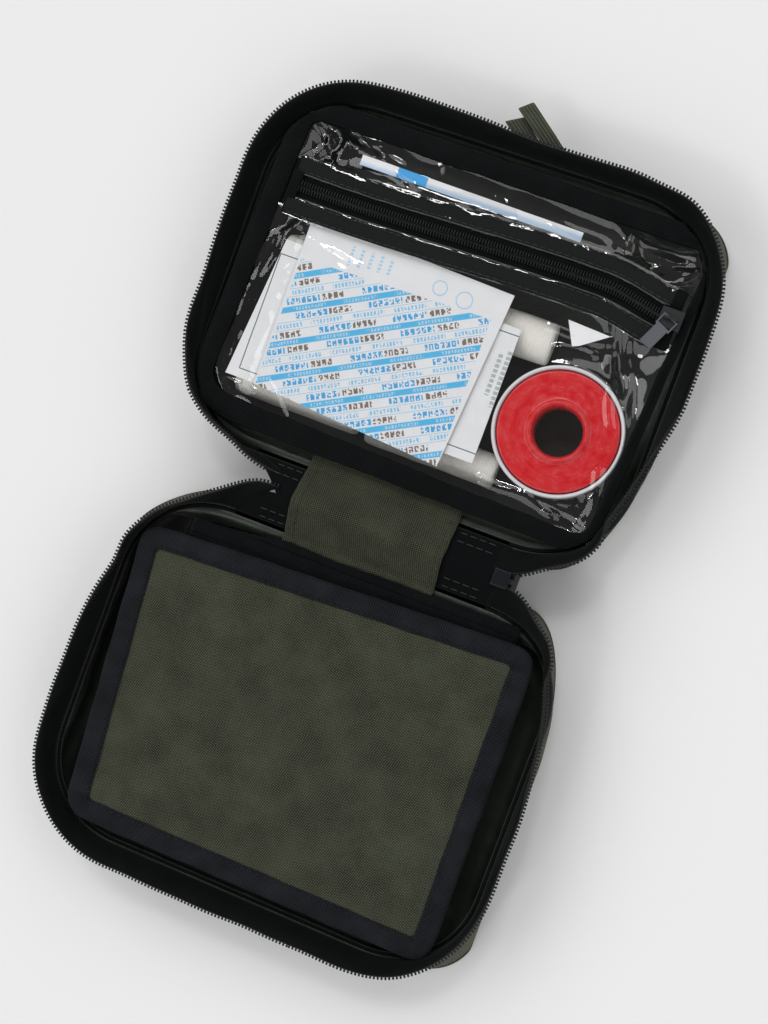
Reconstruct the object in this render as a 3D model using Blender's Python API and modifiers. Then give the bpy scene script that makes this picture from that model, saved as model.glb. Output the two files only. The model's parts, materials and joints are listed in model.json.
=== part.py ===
"""Zip-around first aid kit, lying open: a base half and a lid half joined by a fabric spine.

+X runs along the fold, +Y from the fold to the far side of the lid, +Z up. The fold line is
y = 0 and both halves stand on z = 0 with their zip rims in one plane.
"""
import math

import bmesh
import bpy
from mathutils import Matrix, Vector

MM = 0.001

# Clearance between neighbouring pieces
GAP = 0.0003

# The fold line lies this far from the middle of the whole kit, hang loop included
FOLD_Y = -0.0065

# Zip rim of each half, seen from above
RIM_WIDTH = 0.200
RIM_LENGTH = 0.1678
RIM_TOP_Z = 0.0314
RIM_NEAR_LEFT = (0.061, 0.093, 2.2)
RIM_NEAR_RIGHT = (0.041, 0.091, 2.2)
RIM_FAR = (0.050, 0.051, 2.25)
FOLD_GAP = 0.0026
CLEAR_OF_FOLD = 0.0003

# Top edge of the fabric wall, where the zip tape is sewn on
WALL_TOP_WIDTH = 0.190
WALL_TOP_NEAR_Y = 0.0115
WALL_TOP_FAR_Y = 0.1620
WALL_TOP_Z = 0.0210
WALL_TOP_CORNER = (0.040, 0.040, 2.15)

# Foot of the wall
FOOT_WIDTH = 0.197
FOOT_NEAR_Y = 0.0085
FOOT_FAR_Y = 0.1650
FOOT_NEAR = (0.034, 0.044, 2.2)
FOOT_FAR = (0.024, 0.024, 2.1)

# Fabric thicknesses
PANEL_THICK = 0.0016
WALL_THICK = 0.0012
TAPE_THICK = 0.0009
LINING_THICK = 0.0005
BINDING_THICK = 0.0008
FILM_THICK = 0.0004

# Hinge axis of the lid
FOLD_Z = 0.0320

LID_GOODS = ("gauze_stack", "dressing_packet", "plaster_sachet", "slim_packet", "paper_leaflet")

# Zip teeth
TOOTH_PITCH = 0.0040
TOOTH_OUT = 0.0014
TOOTH_HIGH = 0.0012

# Spine
SPINE_RIDGE_Z = 0.0302
SPINE_SLOPE = 0.755
SPINE_HALF = 0.0110
SPINE_THICK = 0.0008
PATCH_X = (-0.0325, 0.0330)
PATCH_THICK = 0.0004

# Cover flap over the base compartment
COVER_X = (-0.0830, 0.0830)
COVER_Y = (-0.1550, -0.0260)
COVER_CORNER = 0.010
COVER_BAND = 0.0090
COVER_Z = 0.0256
COVER_THICK = 0.0008
LEDGE_Y = (-0.0385, -0.0185)
COVER_AXIS = (0.0, -0.1556, 0.0250)

# Clear pocket in the lid
POCKET_X = (-0.0895, 0.0895)
POCKET_Y = (0.0175, 0.1560)
POCKET_CORNER = 0.034
POCKET_BAND = 0.0055
POCKET_EDGE_Z = 0.0243
FILM_Z = 0.0259
FILM_RAMP = 0.0050
ZIP_LEFT = Vector((-0.0790, 0.1202, 0.0))
ZIP_RIGHT = Vector((0.0860, 0.1173, 0.0))
ZIP_TAPE_WIDTH = 0.0120
ZIP_TAPE_Z = 0.0267
COIL_PITCH = 0.0040
SLIDER_AT = 0.9850
PULLER_TURN = math.radians(-115)

# Tape reel
REEL_CENTRE = (0.0575, 0.0620)
REEL_RADIUS = 0.0265
REEL_FOOT_Z = 0.0028
REEL_TOP_Z = 0.0238

# Packed goods
FLOOR_Z = 0.0028
ROLL_RADIUS = 0.0098

# Hang loop
LOOP_ROOT = (0.0165, 0.1656, 0.0150)
LOOP_LENGTH = 0.0252
LOOP_WIDTH = 0.0165
LOOP_THICK = 0.0012
LOOP_HOLE = 0.0050
LOOP_LEAN = math.radians(47)

# Outline resolution
CORNER_STEPS = 8
SIDE_STEPS = 3
END_STEPS = 4

for stale in list(bpy.data.objects):
    bpy.data.objects.remove(stale, do_unlink=True)

kit = bpy.data.collections.new("first_aid_kit")
bpy.context.scene.collection.children.link(kit)


def material(name, colour, roughness, metallic=0.0, alpha=1.0):
    """A plain surface for one node."""
    mat = bpy.data.materials.new(name)
    mat.use_nodes = True
    shader = mat.node_tree.nodes["Principled BSDF"]
    shader.inputs["Base Color"].default_value = (colour[0], colour[1], colour[2], 1.0)
    shader.inputs["Roughness"].default_value = roughness
    shader.inputs["Metallic"].default_value = metallic
    shader.inputs["Alpha"].default_value = alpha
    return mat


OLIVE = ((0.050, 0.055, 0.030), 0.85, 0.0, 1.0)
BLACK = ((0.010, 0.012, 0.014), 0.75, 0.0, 1.0)
GREEN = ((0.018, 0.030, 0.018), 0.35, 0.0, 1.0)
CLEAR = ((0.80, 0.84, 0.85), 0.10, 0.0, 0.30)
PAPER = ((0.78, 0.79, 0.80), 0.60, 0.0, 1.0)
BLUE = ((0.22, 0.52, 0.78), 0.50, 0.0, 1.0)
CREAM = ((0.75, 0.71, 0.62), 0.90, 0.0, 1.0)
RED = ((0.55, 0.010, 0.020), 0.25, 0.0, 1.0)
WHITE = ((0.80, 0.80, 0.80), 0.35, 0.0, 1.0)
SILVER = ((0.72, 0.73, 0.75), 0.30, 1.0, 1.0)
GREY = ((0.045, 0.050, 0.058), 0.70, 0.0, 1.0)


def add_node(name, bm, look, smooth=False):
    """Closes a bmesh into one named object of the kit."""
    bmesh.ops.remove_doubles(bm, verts=bm.verts, dist=1e-7)
    bmesh.ops.recalc_face_normals(bm, faces=bm.faces)
    mesh = bpy.data.meshes.new(name)
    bm.to_mesh(mesh)
    bm.free()
    for face in mesh.polygons:
        face.use_smooth = smooth
    obj = bpy.data.objects.new(name, mesh)
    kit.objects.link(obj)
    mesh.materials.append(material(name, *look))
    return obj


def bevelled(obj, width, segments=1):
    """Rounds the edges of a boxy piece."""
    modifier = obj.modifiers.new("edge", "BEVEL")
    modifier.width = width
    modifier.segments = segments
    modifier.limit_method = "ANGLE"
    modifier.angle_limit = math.radians(40)
    return obj


def quarter(corner, start):
    """Points of one rounded corner about its centre, turning anticlockwise from a side."""
    reach_x, reach_y, power = corner
    points = []
    for step in range(CORNER_STEPS + 1):
        angle = start + math.pi / 2 * step / CORNER_STEPS
        cos_a = math.cos(angle)
        sin_a = math.sin(angle)
        x = reach_x * math.copysign(abs(cos_a) ** (2 / power), cos_a)
        y = reach_y * math.copysign(abs(sin_a) ** (2 / power), sin_a)
        points.append((x, y))
    return points


def run(first, last, steps):
    """Points strictly between two corners."""
    points = []
    for step in range(1, steps):
        part = step / steps
        x = first[0] + (last[0] - first[0]) * part
        y = first[1] + (last[1] - first[1]) * part
        points.append((x, y))
    return points


def outline(width, near_y, far_y, near_left, near_right, far, inset=0.0, closed=True):
    """Anticlockwise outline of a half from the right end of its fold side round to the left end."""
    def pull(corner):
        return (corner[0] - inset, corner[1] - inset, corner[2])

    half = width / 2 - inset
    low = near_y + inset
    high = far_y - inset
    right = pull(near_right)
    left = pull(near_left)
    top = pull(far)
    corners = (
        (half - right[0], low + right[1], right, -math.pi / 2),
        (half - top[0], high - top[1], top, 0.0),
        (-half + top[0], high - top[1], top, math.pi / 2),
        (-half + left[0], low + left[1], left, math.pi),
    )
    turned = []
    for centre_x, centre_y, corner, start in corners:
        turned.append([(centre_x + x, centre_y + y) for x, y in quarter(corner, start)])
    points = list(turned[0])
    for index, steps in ((1, SIDE_STEPS), (2, END_STEPS), (3, SIDE_STEPS)):
        points += run(points[-1], turned[index][0], steps)
        points += turned[index]
    if closed:
        points += run(points[-1], points[0], END_STEPS)
    return points


def foot_outline(inset=0.0, closed=True):
    return outline(FOOT_WIDTH, FOOT_NEAR_Y, FOOT_FAR_Y, FOOT_NEAR, FOOT_NEAR, FOOT_FAR, inset,
                   closed)


def wall_top_outline(inset=0.0, closed=True):
    return outline(WALL_TOP_WIDTH, WALL_TOP_NEAR_Y, WALL_TOP_FAR_Y, WALL_TOP_CORNER,
                   WALL_TOP_CORNER, WALL_TOP_CORNER, inset, closed)


def rim_outline(inset=0.0):
    """Open line of the zip rim; its two ends stay at the fold whatever the inset."""
    points = outline(RIM_WIDTH, FOLD_GAP, RIM_LENGTH, RIM_NEAR_LEFT, RIM_NEAR_RIGHT, RIM_FAR,
                     inset, False)
    return [(x, max(y - inset * max(0.0, 1 - y / 0.02), FOLD_GAP)) for x, y in points]


def blend_outlines(first, second, part):
    mixed = []
    for (x0, y0), (x1, y1) in zip(first, second):
        mixed.append((x0 + (x1 - x0) * part, y0 + (y1 - y0) * part))
    return mixed


def wall_outline(part, inset, closed=True):
    """Outline of the wall at a part of its height, slightly bellied between foot and top."""
    belly = 0.0012 * math.sin(math.pi * part)
    return blend_outlines(foot_outline(inset - belly, closed), wall_top_outline(inset - belly, closed),
                          part)


def at_height(points, z, side):
    """Lifts a flat outline of the lid to z, mirrored across the fold for the base."""
    if isinstance(z, float):
        return [Vector((x, y * side, z)) for x, y in points]
    return [Vector((x, y * side, high)) for (x, y), high in zip(points, z)]


def stack(name, loops, look, ring=False, smooth=False):
    """Skin over a pile of closed loops; a ring joins the last loop back to the first."""
    bm = bmesh.new()
    rows = [[bm.verts.new(point) for point in loop] for loop in loops]
    pairs = list(zip(rows, rows[1:]))
    if ring:
        pairs.append((rows[-1], rows[0]))
    count = len(rows[0])
    for lower, upper in pairs:
        for index in range(count):
            after = (index + 1) % count
            bm.faces.new((lower[index], lower[after], upper[after], upper[index]))
    if not ring:
        bm.faces.new(list(reversed(rows[0])))
        bm.faces.new(rows[-1])
    return add_node(name, bm, look, smooth)


def sweep(name, sections, look, closed=False, smooth=False):
    """Skin along a row of equal cross-sections, capped at both ends unless it closes on itself."""
    bm = bmesh.new()
    rows = [[bm.verts.new(point) for point in section] for section in sections]
    pairs = list(zip(rows, rows[1:]))
    if closed:
        pairs.append((rows[-1], rows[0]))
    count = len(rows[0])
    for first, second in pairs:
        for index in range(count):
            after = (index + 1) % count
            bm.faces.new((first[index], first[after], second[after], second[index]))
    if not closed:
        bm.faces.new(list(reversed(rows[0])))
        bm.faces.new(rows[-1])
    return add_node(name, bm, look, smooth)


def box(name, low, high, look, turn=0.0, edge=0.0):
    """Block between two corners, turned about its own centre."""
    centre = (Vector(low) + Vector(high)) / 2
    size = Vector(high) - Vector(low)
    bm = bmesh.new()
    bmesh.ops.create_cube(bm, size=1.0)
    bmesh.ops.scale(bm, vec=size, verts=bm.verts)
    bmesh.ops.rotate(bm, cent=(0, 0, 0), matrix=Matrix.Rotation(turn, 3, "Z"), verts=bm.verts)
    bmesh.ops.translate(bm, vec=centre, verts=bm.verts)
    obj = add_node(name, bm, look)
    if edge:
        bevelled(obj, edge)
    return obj


def rounded_rect(x_range, y_range, radius, inset=0.0, steps=5):
    """Closed outline of a rectangle with rounded corners."""
    left = x_range[0] + inset
    right = x_range[1] - inset
    low = y_range[0] + inset
    high = y_range[1] - inset
    turn = max(radius - inset, 0.0008)
    points = []
    corners = ((right - turn, low + turn, -90), (right - turn, high - turn, 0),
               (left + turn, high - turn, 90), (left + turn, low + turn, 180))
    for centre_x, centre_y, start in corners:
        for step in range(steps + 1):
            angle = math.radians(start + 90 * step / steps)
            points.append((centre_x + turn * math.cos(angle), centre_y + turn * math.sin(angle)))
    return points


def flat_loop(points, z):
    return [Vector((x, y, z)) for x, y in points]


def evenly(points, pitch):
    """Places points at an even pitch along a line, with the side direction at each."""
    placed = []
    travelled = 0.0
    due = pitch / 2
    for first, second in zip(points, points[1:]):
        step = second - first
        length = step.length
        while due <= travelled + length:
            part = (due - travelled) / length
            along = step.normalized()
            placed.append((first + step * part, Vector((along.y, -along.x, 0.0))))
            due += pitch
        travelled += length
    return placed


def half_shell(prefix, side):
    """Panel, wall, lining, binding, zip tape and teeth of one half."""
    panel_loops = [
        at_height(foot_outline(0.0015), 0.0, side),
        at_height(foot_outline(0.0004), 0.0005, side),
        at_height(foot_outline(0.0004), PANEL_THICK, side),
    ]
    stack(prefix + "_panel", panel_loops, OLIVE)

    low = PANEL_THICK + GAP
    tall = WALL_TOP_Z - low
    levels = (0.0, 0.25, 0.6, 1.0)
    loops = [at_height(wall_outline(part, 0.0), low + tall * part, side) for part in levels]
    for part in reversed(levels):
        loops.append(at_height(wall_outline(part, WALL_THICK), low + tall * part, side))
    stack(prefix + "_wall", loops, OLIVE, ring=True)

    outer = WALL_THICK + GAP
    inner = outer + LINING_THICK
    loops = [at_height(wall_outline(part, outer), low + tall * part, side) for part in levels]
    for part in (1.0, 0.6, 0.25):
        loops.append(at_height(wall_outline(part, inner), low + tall * part, side))
    loops.append(at_height(wall_outline(0.05, inner), low + LINING_THICK, side))
    stack(prefix + "_lining", loops, GREEN)

    near = inner + GAP
    sections = []
    lines = []
    for part, inset in ((0.80, near), (1.0, near), (1.0, near + BINDING_THICK),
                        (0.80, near + BINDING_THICK)):
        lines.append(at_height(wall_outline(part, inset, False), low + tall * part, side))
    for quad in zip(*lines):
        sections.append(quad)
    sweep(prefix + "_seam_binding", sections, BLACK)

    foot_z = WALL_TOP_Z + GAP
    lines = (
        at_height(wall_top_outline(0.0, False), foot_z, side),
        at_height(rim_outline(0.0), RIM_TOP_Z, side),
        at_height(rim_outline(TAPE_THICK), RIM_TOP_Z, side),
        at_height(wall_top_outline(TAPE_THICK, False), foot_z, side),
    )
    sweep(prefix + "_zip_tape", list(zip(*lines)), BLACK)

    rim = at_height(rim_outline(0.0), RIM_TOP_Z, side)
    sections = []
    for index, (spot, across) in enumerate(evenly(rim, TOOTH_PITCH / 2)):
        outward = across * side
        reach = TOOTH_OUT if index % 2 else TOOTH_OUT * 0.35
        near_edge = spot + outward * (2 * GAP)
        far_edge = spot + outward * (2 * GAP + reach)
        down = Vector((0, 0, -TOOTH_HIGH))
        sections.append((near_edge, far_edge, far_edge + down, near_edge + down))
    sweep(prefix + "_zip_teeth", sections, BLACK)


def bent_strip(name, profile, x_low, x_high, thick, look):
    """Fabric strip that follows a profile of (y, z) points and runs along X.

    x_low and x_high give the two ends of the strip at each profile point.
    """
    sections = []
    for (y, z), left, right in zip(profile, x_low, x_high):
        lift = Vector((0, 0, thick))
        first = Vector((left, y, z))
        second = Vector((right, y, z))
        sections.append((first, second, second + lift, first + lift))
    return sweep(name, sections, look)


def spine():
    """Black strip over the fold, the olive patch on it and the tab over the zip's end."""
    edge_z = SPINE_RIDGE_Z - SPINE_SLOPE * SPINE_HALF
    profile = [(-SPINE_HALF, edge_z), (-SPINE_HALF / 2, (edge_z + SPINE_RIDGE_Z) / 2 + 0.0003),
               (0.0, SPINE_RIDGE_Z), (SPINE_HALF / 2, (edge_z + SPINE_RIDGE_Z) / 2 + 0.0003),
               (SPINE_HALF, edge_z)]
    left = [-0.0520, -0.0440, -0.0375, -0.0440, -0.0520]
    right = [0.0520, 0.0545, 0.0570, 0.0545, 0.0520]
    bent_strip("spine_strip", profile, left, right, SPINE_THICK, BLACK)

    rise = SPINE_THICK + GAP + 0.0001
    slope_z = (edge_z + SPINE_RIDGE_Z) / 2 + rise + 0.0001
    patch = [(-0.0225, 0.0204), (-0.0170, 0.0206), (-0.0125, 0.0222), (-SPINE_HALF / 2, slope_z),
             (0.0, SPINE_RIDGE_Z + rise), (SPINE_HALF / 2, slope_z), (SPINE_HALF, edge_z + rise)]
    bent_strip("hinge_patch", patch, [PATCH_X[0]] * len(patch), [PATCH_X[1]] * len(patch),
               PATCH_THICK, OLIVE)
    hem = [(0.0122, 0.0222), (0.0165, 0.0202), (0.0202, 0.0198)]
    bent_strip("hinge_patch_hem", hem, [PATCH_X[0]] * 3, [PATCH_X[1]] * 3, PATCH_THICK, OLIVE)

    tab = [(-0.0045, SPINE_RIDGE_Z - SPINE_SLOPE * 0.0045 + rise), (0.0, SPINE_RIDGE_Z + rise),
           (0.0045, SPINE_RIDGE_Z - SPINE_SLOPE * 0.0045 + rise)]
    bent_strip("zip_end_tab", tab, [0.0490] * 3, [0.0560] * 3, PATCH_THICK, GREY)


def u_ring(name, x_range, y_range, corner, band, z_low, slot, look):
    """Binding tape folded round the edge of a sheet: a ring with a U-shaped section."""
    leg = 0.0006
    outer = rounded_rect(x_range, y_range, corner)
    inner = rounded_rect(x_range, y_range, corner, band)
    back = rounded_rect(x_range, y_range, corner, leg)
    z = [z_low, z_low + leg, z_low + leg + slot, z_low + 2 * leg + slot]
    loops = [flat_loop(outer, z[0]), flat_loop(outer, z[3]), flat_loop(inner, z[3]),
             flat_loop(inner, z[2]), flat_loop(back, z[2]), flat_loop(back, z[1]),
             flat_loop(inner, z[1]), flat_loop(inner, z[0])]
    return stack(name, loops, look, ring=True)


def cover():
    """Olive flap over the base compartment, its binding and its hook-and-loop closure."""
    inset = 0.0006 + GAP
    points = rounded_rect(COVER_X, COVER_Y, COVER_CORNER, inset)
    stack("cover_panel", [flat_loop(points, COVER_Z), flat_loop(points, COVER_Z + COVER_THICK)],
          OLIVE)
    slot = COVER_THICK + 2 * GAP
    u_ring("cover_binding", COVER_X, COVER_Y, COVER_CORNER, COVER_BAND, COVER_Z - GAP - 0.0006,
           slot, BLACK)
    under = COVER_Z - GAP - 0.0006 - GAP
    box("cover_hook_strip", (-0.0700, -0.0345, under - 0.0008), (0.0700, -0.0275, under), BLACK)
    loop_top = under - 0.0008 - GAP
    box("cover_loop_strip", (-0.0700, -0.0350, loop_top - 0.0008), (0.0700, -0.0265, loop_top),
        BLACK)
    ledge_top = loop_top - 0.0008 - GAP
    box("cover_ledge", (-0.0710, LEDGE_Y[0], ledge_top - 0.0006), (0.0710, LEDGE_Y[1], ledge_top),
        BLACK)
    band = [(-0.1573, 0.0206), (-0.1567, 0.0228), (-0.1562, 0.0244)]
    sections = []
    for y, z in band:
        sections.append((Vector((-0.0600, y, z)), Vector((0.0600, y, z)),
                         Vector((0.0600, y + 0.0006, z)), Vector((-0.0600, y + 0.0006, z))))
    sweep("cover_hinge_band", sections, BLACK)


def pocket_depth(x, y):
    """Distance in from the pocket's rounded outline."""
    centre_x = (POCKET_X[0] + POCKET_X[1]) / 2
    centre_y = (POCKET_Y[0] + POCKET_Y[1]) / 2
    over_x = abs(x - centre_x) - (POCKET_X[1] - POCKET_X[0]) / 2 + POCKET_CORNER
    over_y = abs(y - centre_y) - (POCKET_Y[1] - POCKET_Y[0]) / 2 + POCKET_CORNER
    outside = math.hypot(max(over_x, 0.0), max(over_y, 0.0))
    return POCKET_CORNER - outside - min(max(over_x, over_y), 0.0)


def film_height(x, y):
    """Height of the clear film: level, dipping to its binding near the edges."""
    level = (pocket_depth(x, y) - POCKET_BAND - 0.0004) / FILM_RAMP
    level = min(max(level, 0.0), 1.0)
    return POCKET_EDGE_Z + (FILM_Z - POCKET_EDGE_Z) * level


def zip_line_y(x):
    along = (ZIP_RIGHT.y - ZIP_LEFT.y) / (ZIP_RIGHT.x - ZIP_LEFT.x)
    return ZIP_LEFT.y + (x - ZIP_LEFT.x) * along


def film(name, above):
    """One pane of the pocket's clear film, on one side of the pocket's zip."""
    inset = 0.0006 + GAP + 0.0002
    left = POCKET_X[0] + inset
    right = POCKET_X[1] - inset
    turn = POCKET_CORNER - inset
    steps = (0.0, 0.0010, 0.0047, 0.0080, 0.0115, 0.0180, 0.0260, turn)
    xs = [left + step for step in steps] + [-0.020, 0.020] + [right - step for step in reversed(steps)]
    grid = []
    for x in xs:
        back = max(turn - (x - left), turn - (right - x), 0.0)
        drop = turn - math.sqrt(max(turn * turn - back * back, 0.0))
        far = POCKET_Y[1] - inset - drop
        near = POCKET_Y[0] + inset + drop
        seam = zip_line_y(x)
        if above:
            start = min(seam + 0.0085, far - 0.0052)
            deep = far - start
            ys = [start, far - 0.8 * deep, far - min(0.0085, 0.6 * deep),
                  far - min(0.0047, 0.3 * deep), far]
        else:
            ys = [near, near + 0.0047, near + 0.0085, (near + seam) / 2, seam - 0.0085]
        grid.append([Vector((x, y, film_height(x, y))) for y in ys])
    bm = bmesh.new()
    lower = [[bm.verts.new(point) for point in row] for row in grid]
    lift = Vector((0, 0, FILM_THICK))
    upper = [[bm.verts.new(point + lift) for point in row] for row in grid]
    rows = len(grid)
    columns = len(grid[0])
    for row in range(rows - 1):
        for column in range(columns - 1):
            corners = ((row, column), (row + 1, column), (row + 1, column + 1), (row, column + 1))
            bm.faces.new([lower[i][j] for i, j in corners])
            bm.faces.new([upper[i][j] for i, j in reversed(corners)])
    edge = [(row, 0) for row in range(rows)]
    edge += [(rows - 1, column) for column in range(1, columns)]
    edge += [(row, columns - 1) for row in range(rows - 2, -1, -1)]
    edge += [(0, column) for column in range(columns - 2, 0, -1)]
    for (i, j), (k, m) in zip(edge, edge[1:] + edge[:1]):
        bm.faces.new((lower[i][j], lower[k][m], upper[k][m], upper[i][j]))
    return add_node(name, bm, CLEAR)


def pocket():
    """Clear pocket of the lid with its own zip."""
    slot = FILM_THICK + 2 * GAP
    u_ring("pocket_frame", POCKET_X, POCKET_Y, POCKET_CORNER, POCKET_BAND,
           POCKET_EDGE_Z - GAP - 0.0006, slot, BLACK)
    film("pocket_film_lower", False)
    film("pocket_film_upper", True)
    side_low = FLOOR_Z
    side_high = POCKET_EDGE_Z - 2 * GAP - 0.0006
    outer = rounded_rect(POCKET_X, POCKET_Y, POCKET_CORNER, 0.0035)
    inner = rounded_rect(POCKET_X, POCKET_Y, POCKET_CORNER, 0.0035 + FILM_THICK)
    stack("pocket_side_film", [flat_loop(outer, side_low), flat_loop(outer, side_high),
                               flat_loop(inner, side_high), flat_loop(inner, side_low)],
          CLEAR, ring=True)

    along = (ZIP_RIGHT - ZIP_LEFT).normalized()
    across = Vector((-along.y, along.x, 0.0))
    for name, sign in (("upper", 1), ("lower", -1)):
        near = across * sign * 0.0008
        far = across * sign * (0.0008 + ZIP_TAPE_WIDTH)
        base = Vector((0, 0, ZIP_TAPE_Z))
        lift = Vector((0, 0, 0.0006))
        sections = []
        for end in (ZIP_LEFT, ZIP_RIGHT):
            sections.append((end + near + base, end + far + base, end + far + base + lift,
                             end + near + base + lift))
        sweep("pocket_zip_tape_" + name, sections, BLACK)

        length = (ZIP_RIGHT - ZIP_LEFT).length - 0.008
        steps = int(length / (COIL_PITCH / 2))
        sections = []
        for step in range(steps + 1):
            spot = ZIP_LEFT + along * (0.003 + step * COIL_PITCH / 2)
            wide = 0.0028 if (step + (sign > 0)) % 2 else 0.0022
            low = spot + Vector((0, 0, ZIP_TAPE_Z + 0.0009))
            high = low + Vector((0, 0, 0.0011 if step % 2 else 0.0009))
            sections.append((low + near, low + across * sign * wide,
                             high + across * sign * wide, high + near))
        sweep("pocket_zip_coil_" + name, sections, BLACK)


def join_boxes(name, boxes, look, frame):
    """One solid out of touching blocks, united in the piece's own frame."""
    bm = bmesh.new()
    parts = []
    for low, high in boxes:
        centre = (Vector(low) + Vector(high)) / 2
        size = Vector(high) - Vector(low)
        piece = bmesh.new()
        bmesh.ops.create_cube(piece, size=1.0)
        bmesh.ops.scale(piece, vec=size, verts=piece.verts)
        bmesh.ops.translate(piece, vec=centre, verts=piece.verts)
        mesh = bpy.data.meshes.new(name + "_block")
        piece.to_mesh(mesh)
        piece.free()
        parts.append(mesh)
    bm.from_mesh(parts[0])
    obj = add_node(name, bm, look)
    for mesh in parts[1:]:
        block = bpy.data.objects.new(name + "_block", mesh)
        cutters.objects.link(block)
        block.display_type = "WIRE"
        block.hide_render = True
        modifier = obj.modifiers.new("unite", "BOOLEAN")
        modifier.operation = "UNION"
        modifier.solver = "EXACT"
        modifier.object = block
        block.matrix_world = frame
    obj.matrix_world = frame
    return obj


def sliders():
    """Slider and puller of the pocket's zip and of the kit's own zip."""
    along = (ZIP_RIGHT - ZIP_LEFT).normalized()
    angle = math.atan2(along.y, along.x)
    spot = ZIP_LEFT + (ZIP_RIGHT - ZIP_LEFT) * SLIDER_AT
    frame = Matrix.Translation((spot.x, spot.y, 0.0)) @ Matrix.Rotation(angle, 4, "Z")
    low = 0.0256
    top = 0.0290
    blocks = (
        ((-0.0045, -0.0040, low), (0.0045, 0.0040, low + 0.0007)),
        ((-0.0045, -0.0040, top), (0.0045, 0.0040, top + 0.0006)),
        ((0.0015, -0.0004, low + 0.0003), (0.0044, 0.0004, top + 0.0003)),
        ((-0.0027, -0.0005, top + 0.0003), (-0.0019, 0.0005, 0.0312)),
        ((0.0019, -0.0005, top + 0.0003), (0.0027, 0.0005, 0.0312)),
        ((-0.0027, -0.0005, 0.0308), (0.0027, 0.0005, 0.0313)),
    )
    join_boxes("pocket_slider", blocks, BLACK, frame)

    pull = Matrix.Translation((spot.x, spot.y, 0.0302)) @ Matrix.Rotation(PULLER_TURN, 4, "Z")
    blocks = (
        ((-0.0003, -0.0034, -0.0003), (0.0003, 0.0034, 0.0003)),
        ((-0.0003, 0.0028, -0.0003), (0.0050, 0.0034, 0.0003)),
        ((-0.0003, -0.0034, -0.0003), (0.0050, -0.0028, 0.0003)),
        ((0.0040, -0.0034, -0.0003), (0.0050, 0.0034, 0.0003)),
        ((0.0040, -0.0027, -0.0003), (0.0140, 0.0027, 0.0003)),
    )
    join_boxes("pocket_puller", blocks, GREY, pull)

    frame = Matrix.Translation((0.0590, 0.0, 0.0))
    blocks = (
        ((-0.0055, -0.0040, 0.0250), (0.0050, 0.0040, 0.0258)),
        ((-0.0010, -0.0010, 0.0254), (0.0046, 0.0010, 0.0294)),
        ((0.0032, -0.0036, 0.0286), (0.0050, 0.0036, 0.0293)),
        ((-0.0027, -0.0005, 0.0230), (-0.0019, 0.0005, 0.0253)),
        ((0.0019, -0.0005, 0.0230), (0.0027, 0.0005, 0.0253)),
        ((-0.0027, -0.0005, 0.0230), (0.0027, 0.0005, 0.0236)),
    )
    join_boxes("main_slider", blocks, SILVER, frame)

    pull = Matrix.Translation((0.0590, 0.0, 0.0243)) @ Matrix.Rotation(math.radians(90), 4, "Y")
    blocks = (
        ((-0.0003, -0.0028, -0.0003), (0.0003, 0.0028, 0.0003)),
        ((-0.0003, 0.0018, -0.0003), (0.0060, 0.0028, 0.0003)),
        ((-0.0003, -0.0028, -0.0003), (0.0060, -0.0018, 0.0003)),
        ((0.0055, -0.0028, -0.0003), (0.0190, 0.0028, 0.0003)),
    )
    join_boxes("main_puller", blocks, SILVER, pull)


def turned(name, profile, centre, look, steps=36):
    """Round piece: a closed (radius, z) profile turned about a vertical axis."""
    bm = bmesh.new()
    verts = [bm.verts.new((radius, 0.0, z)) for radius, z in profile]
    for first, second in zip(verts, verts[1:] + verts[:1]):
        bm.edges.new((first, second))
    mesh = bpy.data.meshes.new(name)
    bm.to_mesh(mesh)
    bm.free()
    obj = bpy.data.objects.new(name, mesh)
    kit.objects.link(obj)
    mesh.materials.append(material(name, *look))
    screw = obj.modifiers.new("turn", "SCREW")
    screw.axis = "Z"
    screw.steps = steps
    screw.render_steps = steps
    screw.use_merge_vertices = True
    screw.merge_threshold = 0.00001
    screw.use_smooth_shade = True
    obj.location = (centre[0], centre[1], 0.0)
    return obj


def reel():
    """Reel of sticking plaster: red hub, wound tape and the white guard it turns in."""
    low = REEL_FOOT_Z
    top = REEL_TOP_Z
    radius = REEL_RADIUS
    turned("reel_hub", [(0.0098, top - 0.0010), (0.0118, top), (radius - 0.0020, top),
                        (radius - 0.0020, top - 0.0012), (0.0125, top - 0.0012),
                        (0.0125, low + 0.0020), (0.0098, low + 0.0020)], REEL_CENTRE, RED)
    turned("reel_tape", [(0.0128, top - 0.0016), (radius - 0.0050, top - 0.0016),
                         (radius - 0.0050, low + 0.0020), (0.0128, low + 0.0020)],
           REEL_CENTRE, CREAM)
    turned("reel_guard", [(radius - 0.0016, top), (radius, top - 0.0005), (radius, low),
                          (0.0098, low), (0.0098, low + 0.0012), (radius - 0.0016, low + 0.0012)],
           REEL_CENTRE, WHITE)


def roll(name, start, end, radius, look):
    """Bandage roll lying between two end points."""
    first = Vector(start)
    second = Vector(end)
    middle = (first + second) / 2
    along = second - first
    bm = bmesh.new()
    bmesh.ops.create_cone(bm, cap_ends=True, segments=18, radius1=radius, radius2=radius,
                          depth=along.length)
    turn = Vector((0, 0, 1)).rotation_difference(along.normalized()).to_matrix()
    bmesh.ops.rotate(bm, cent=(0, 0, 0), matrix=turn, verts=bm.verts)
    bmesh.ops.translate(bm, vec=middle, verts=bm.verts)
    return add_node(name, bm, look)


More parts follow.
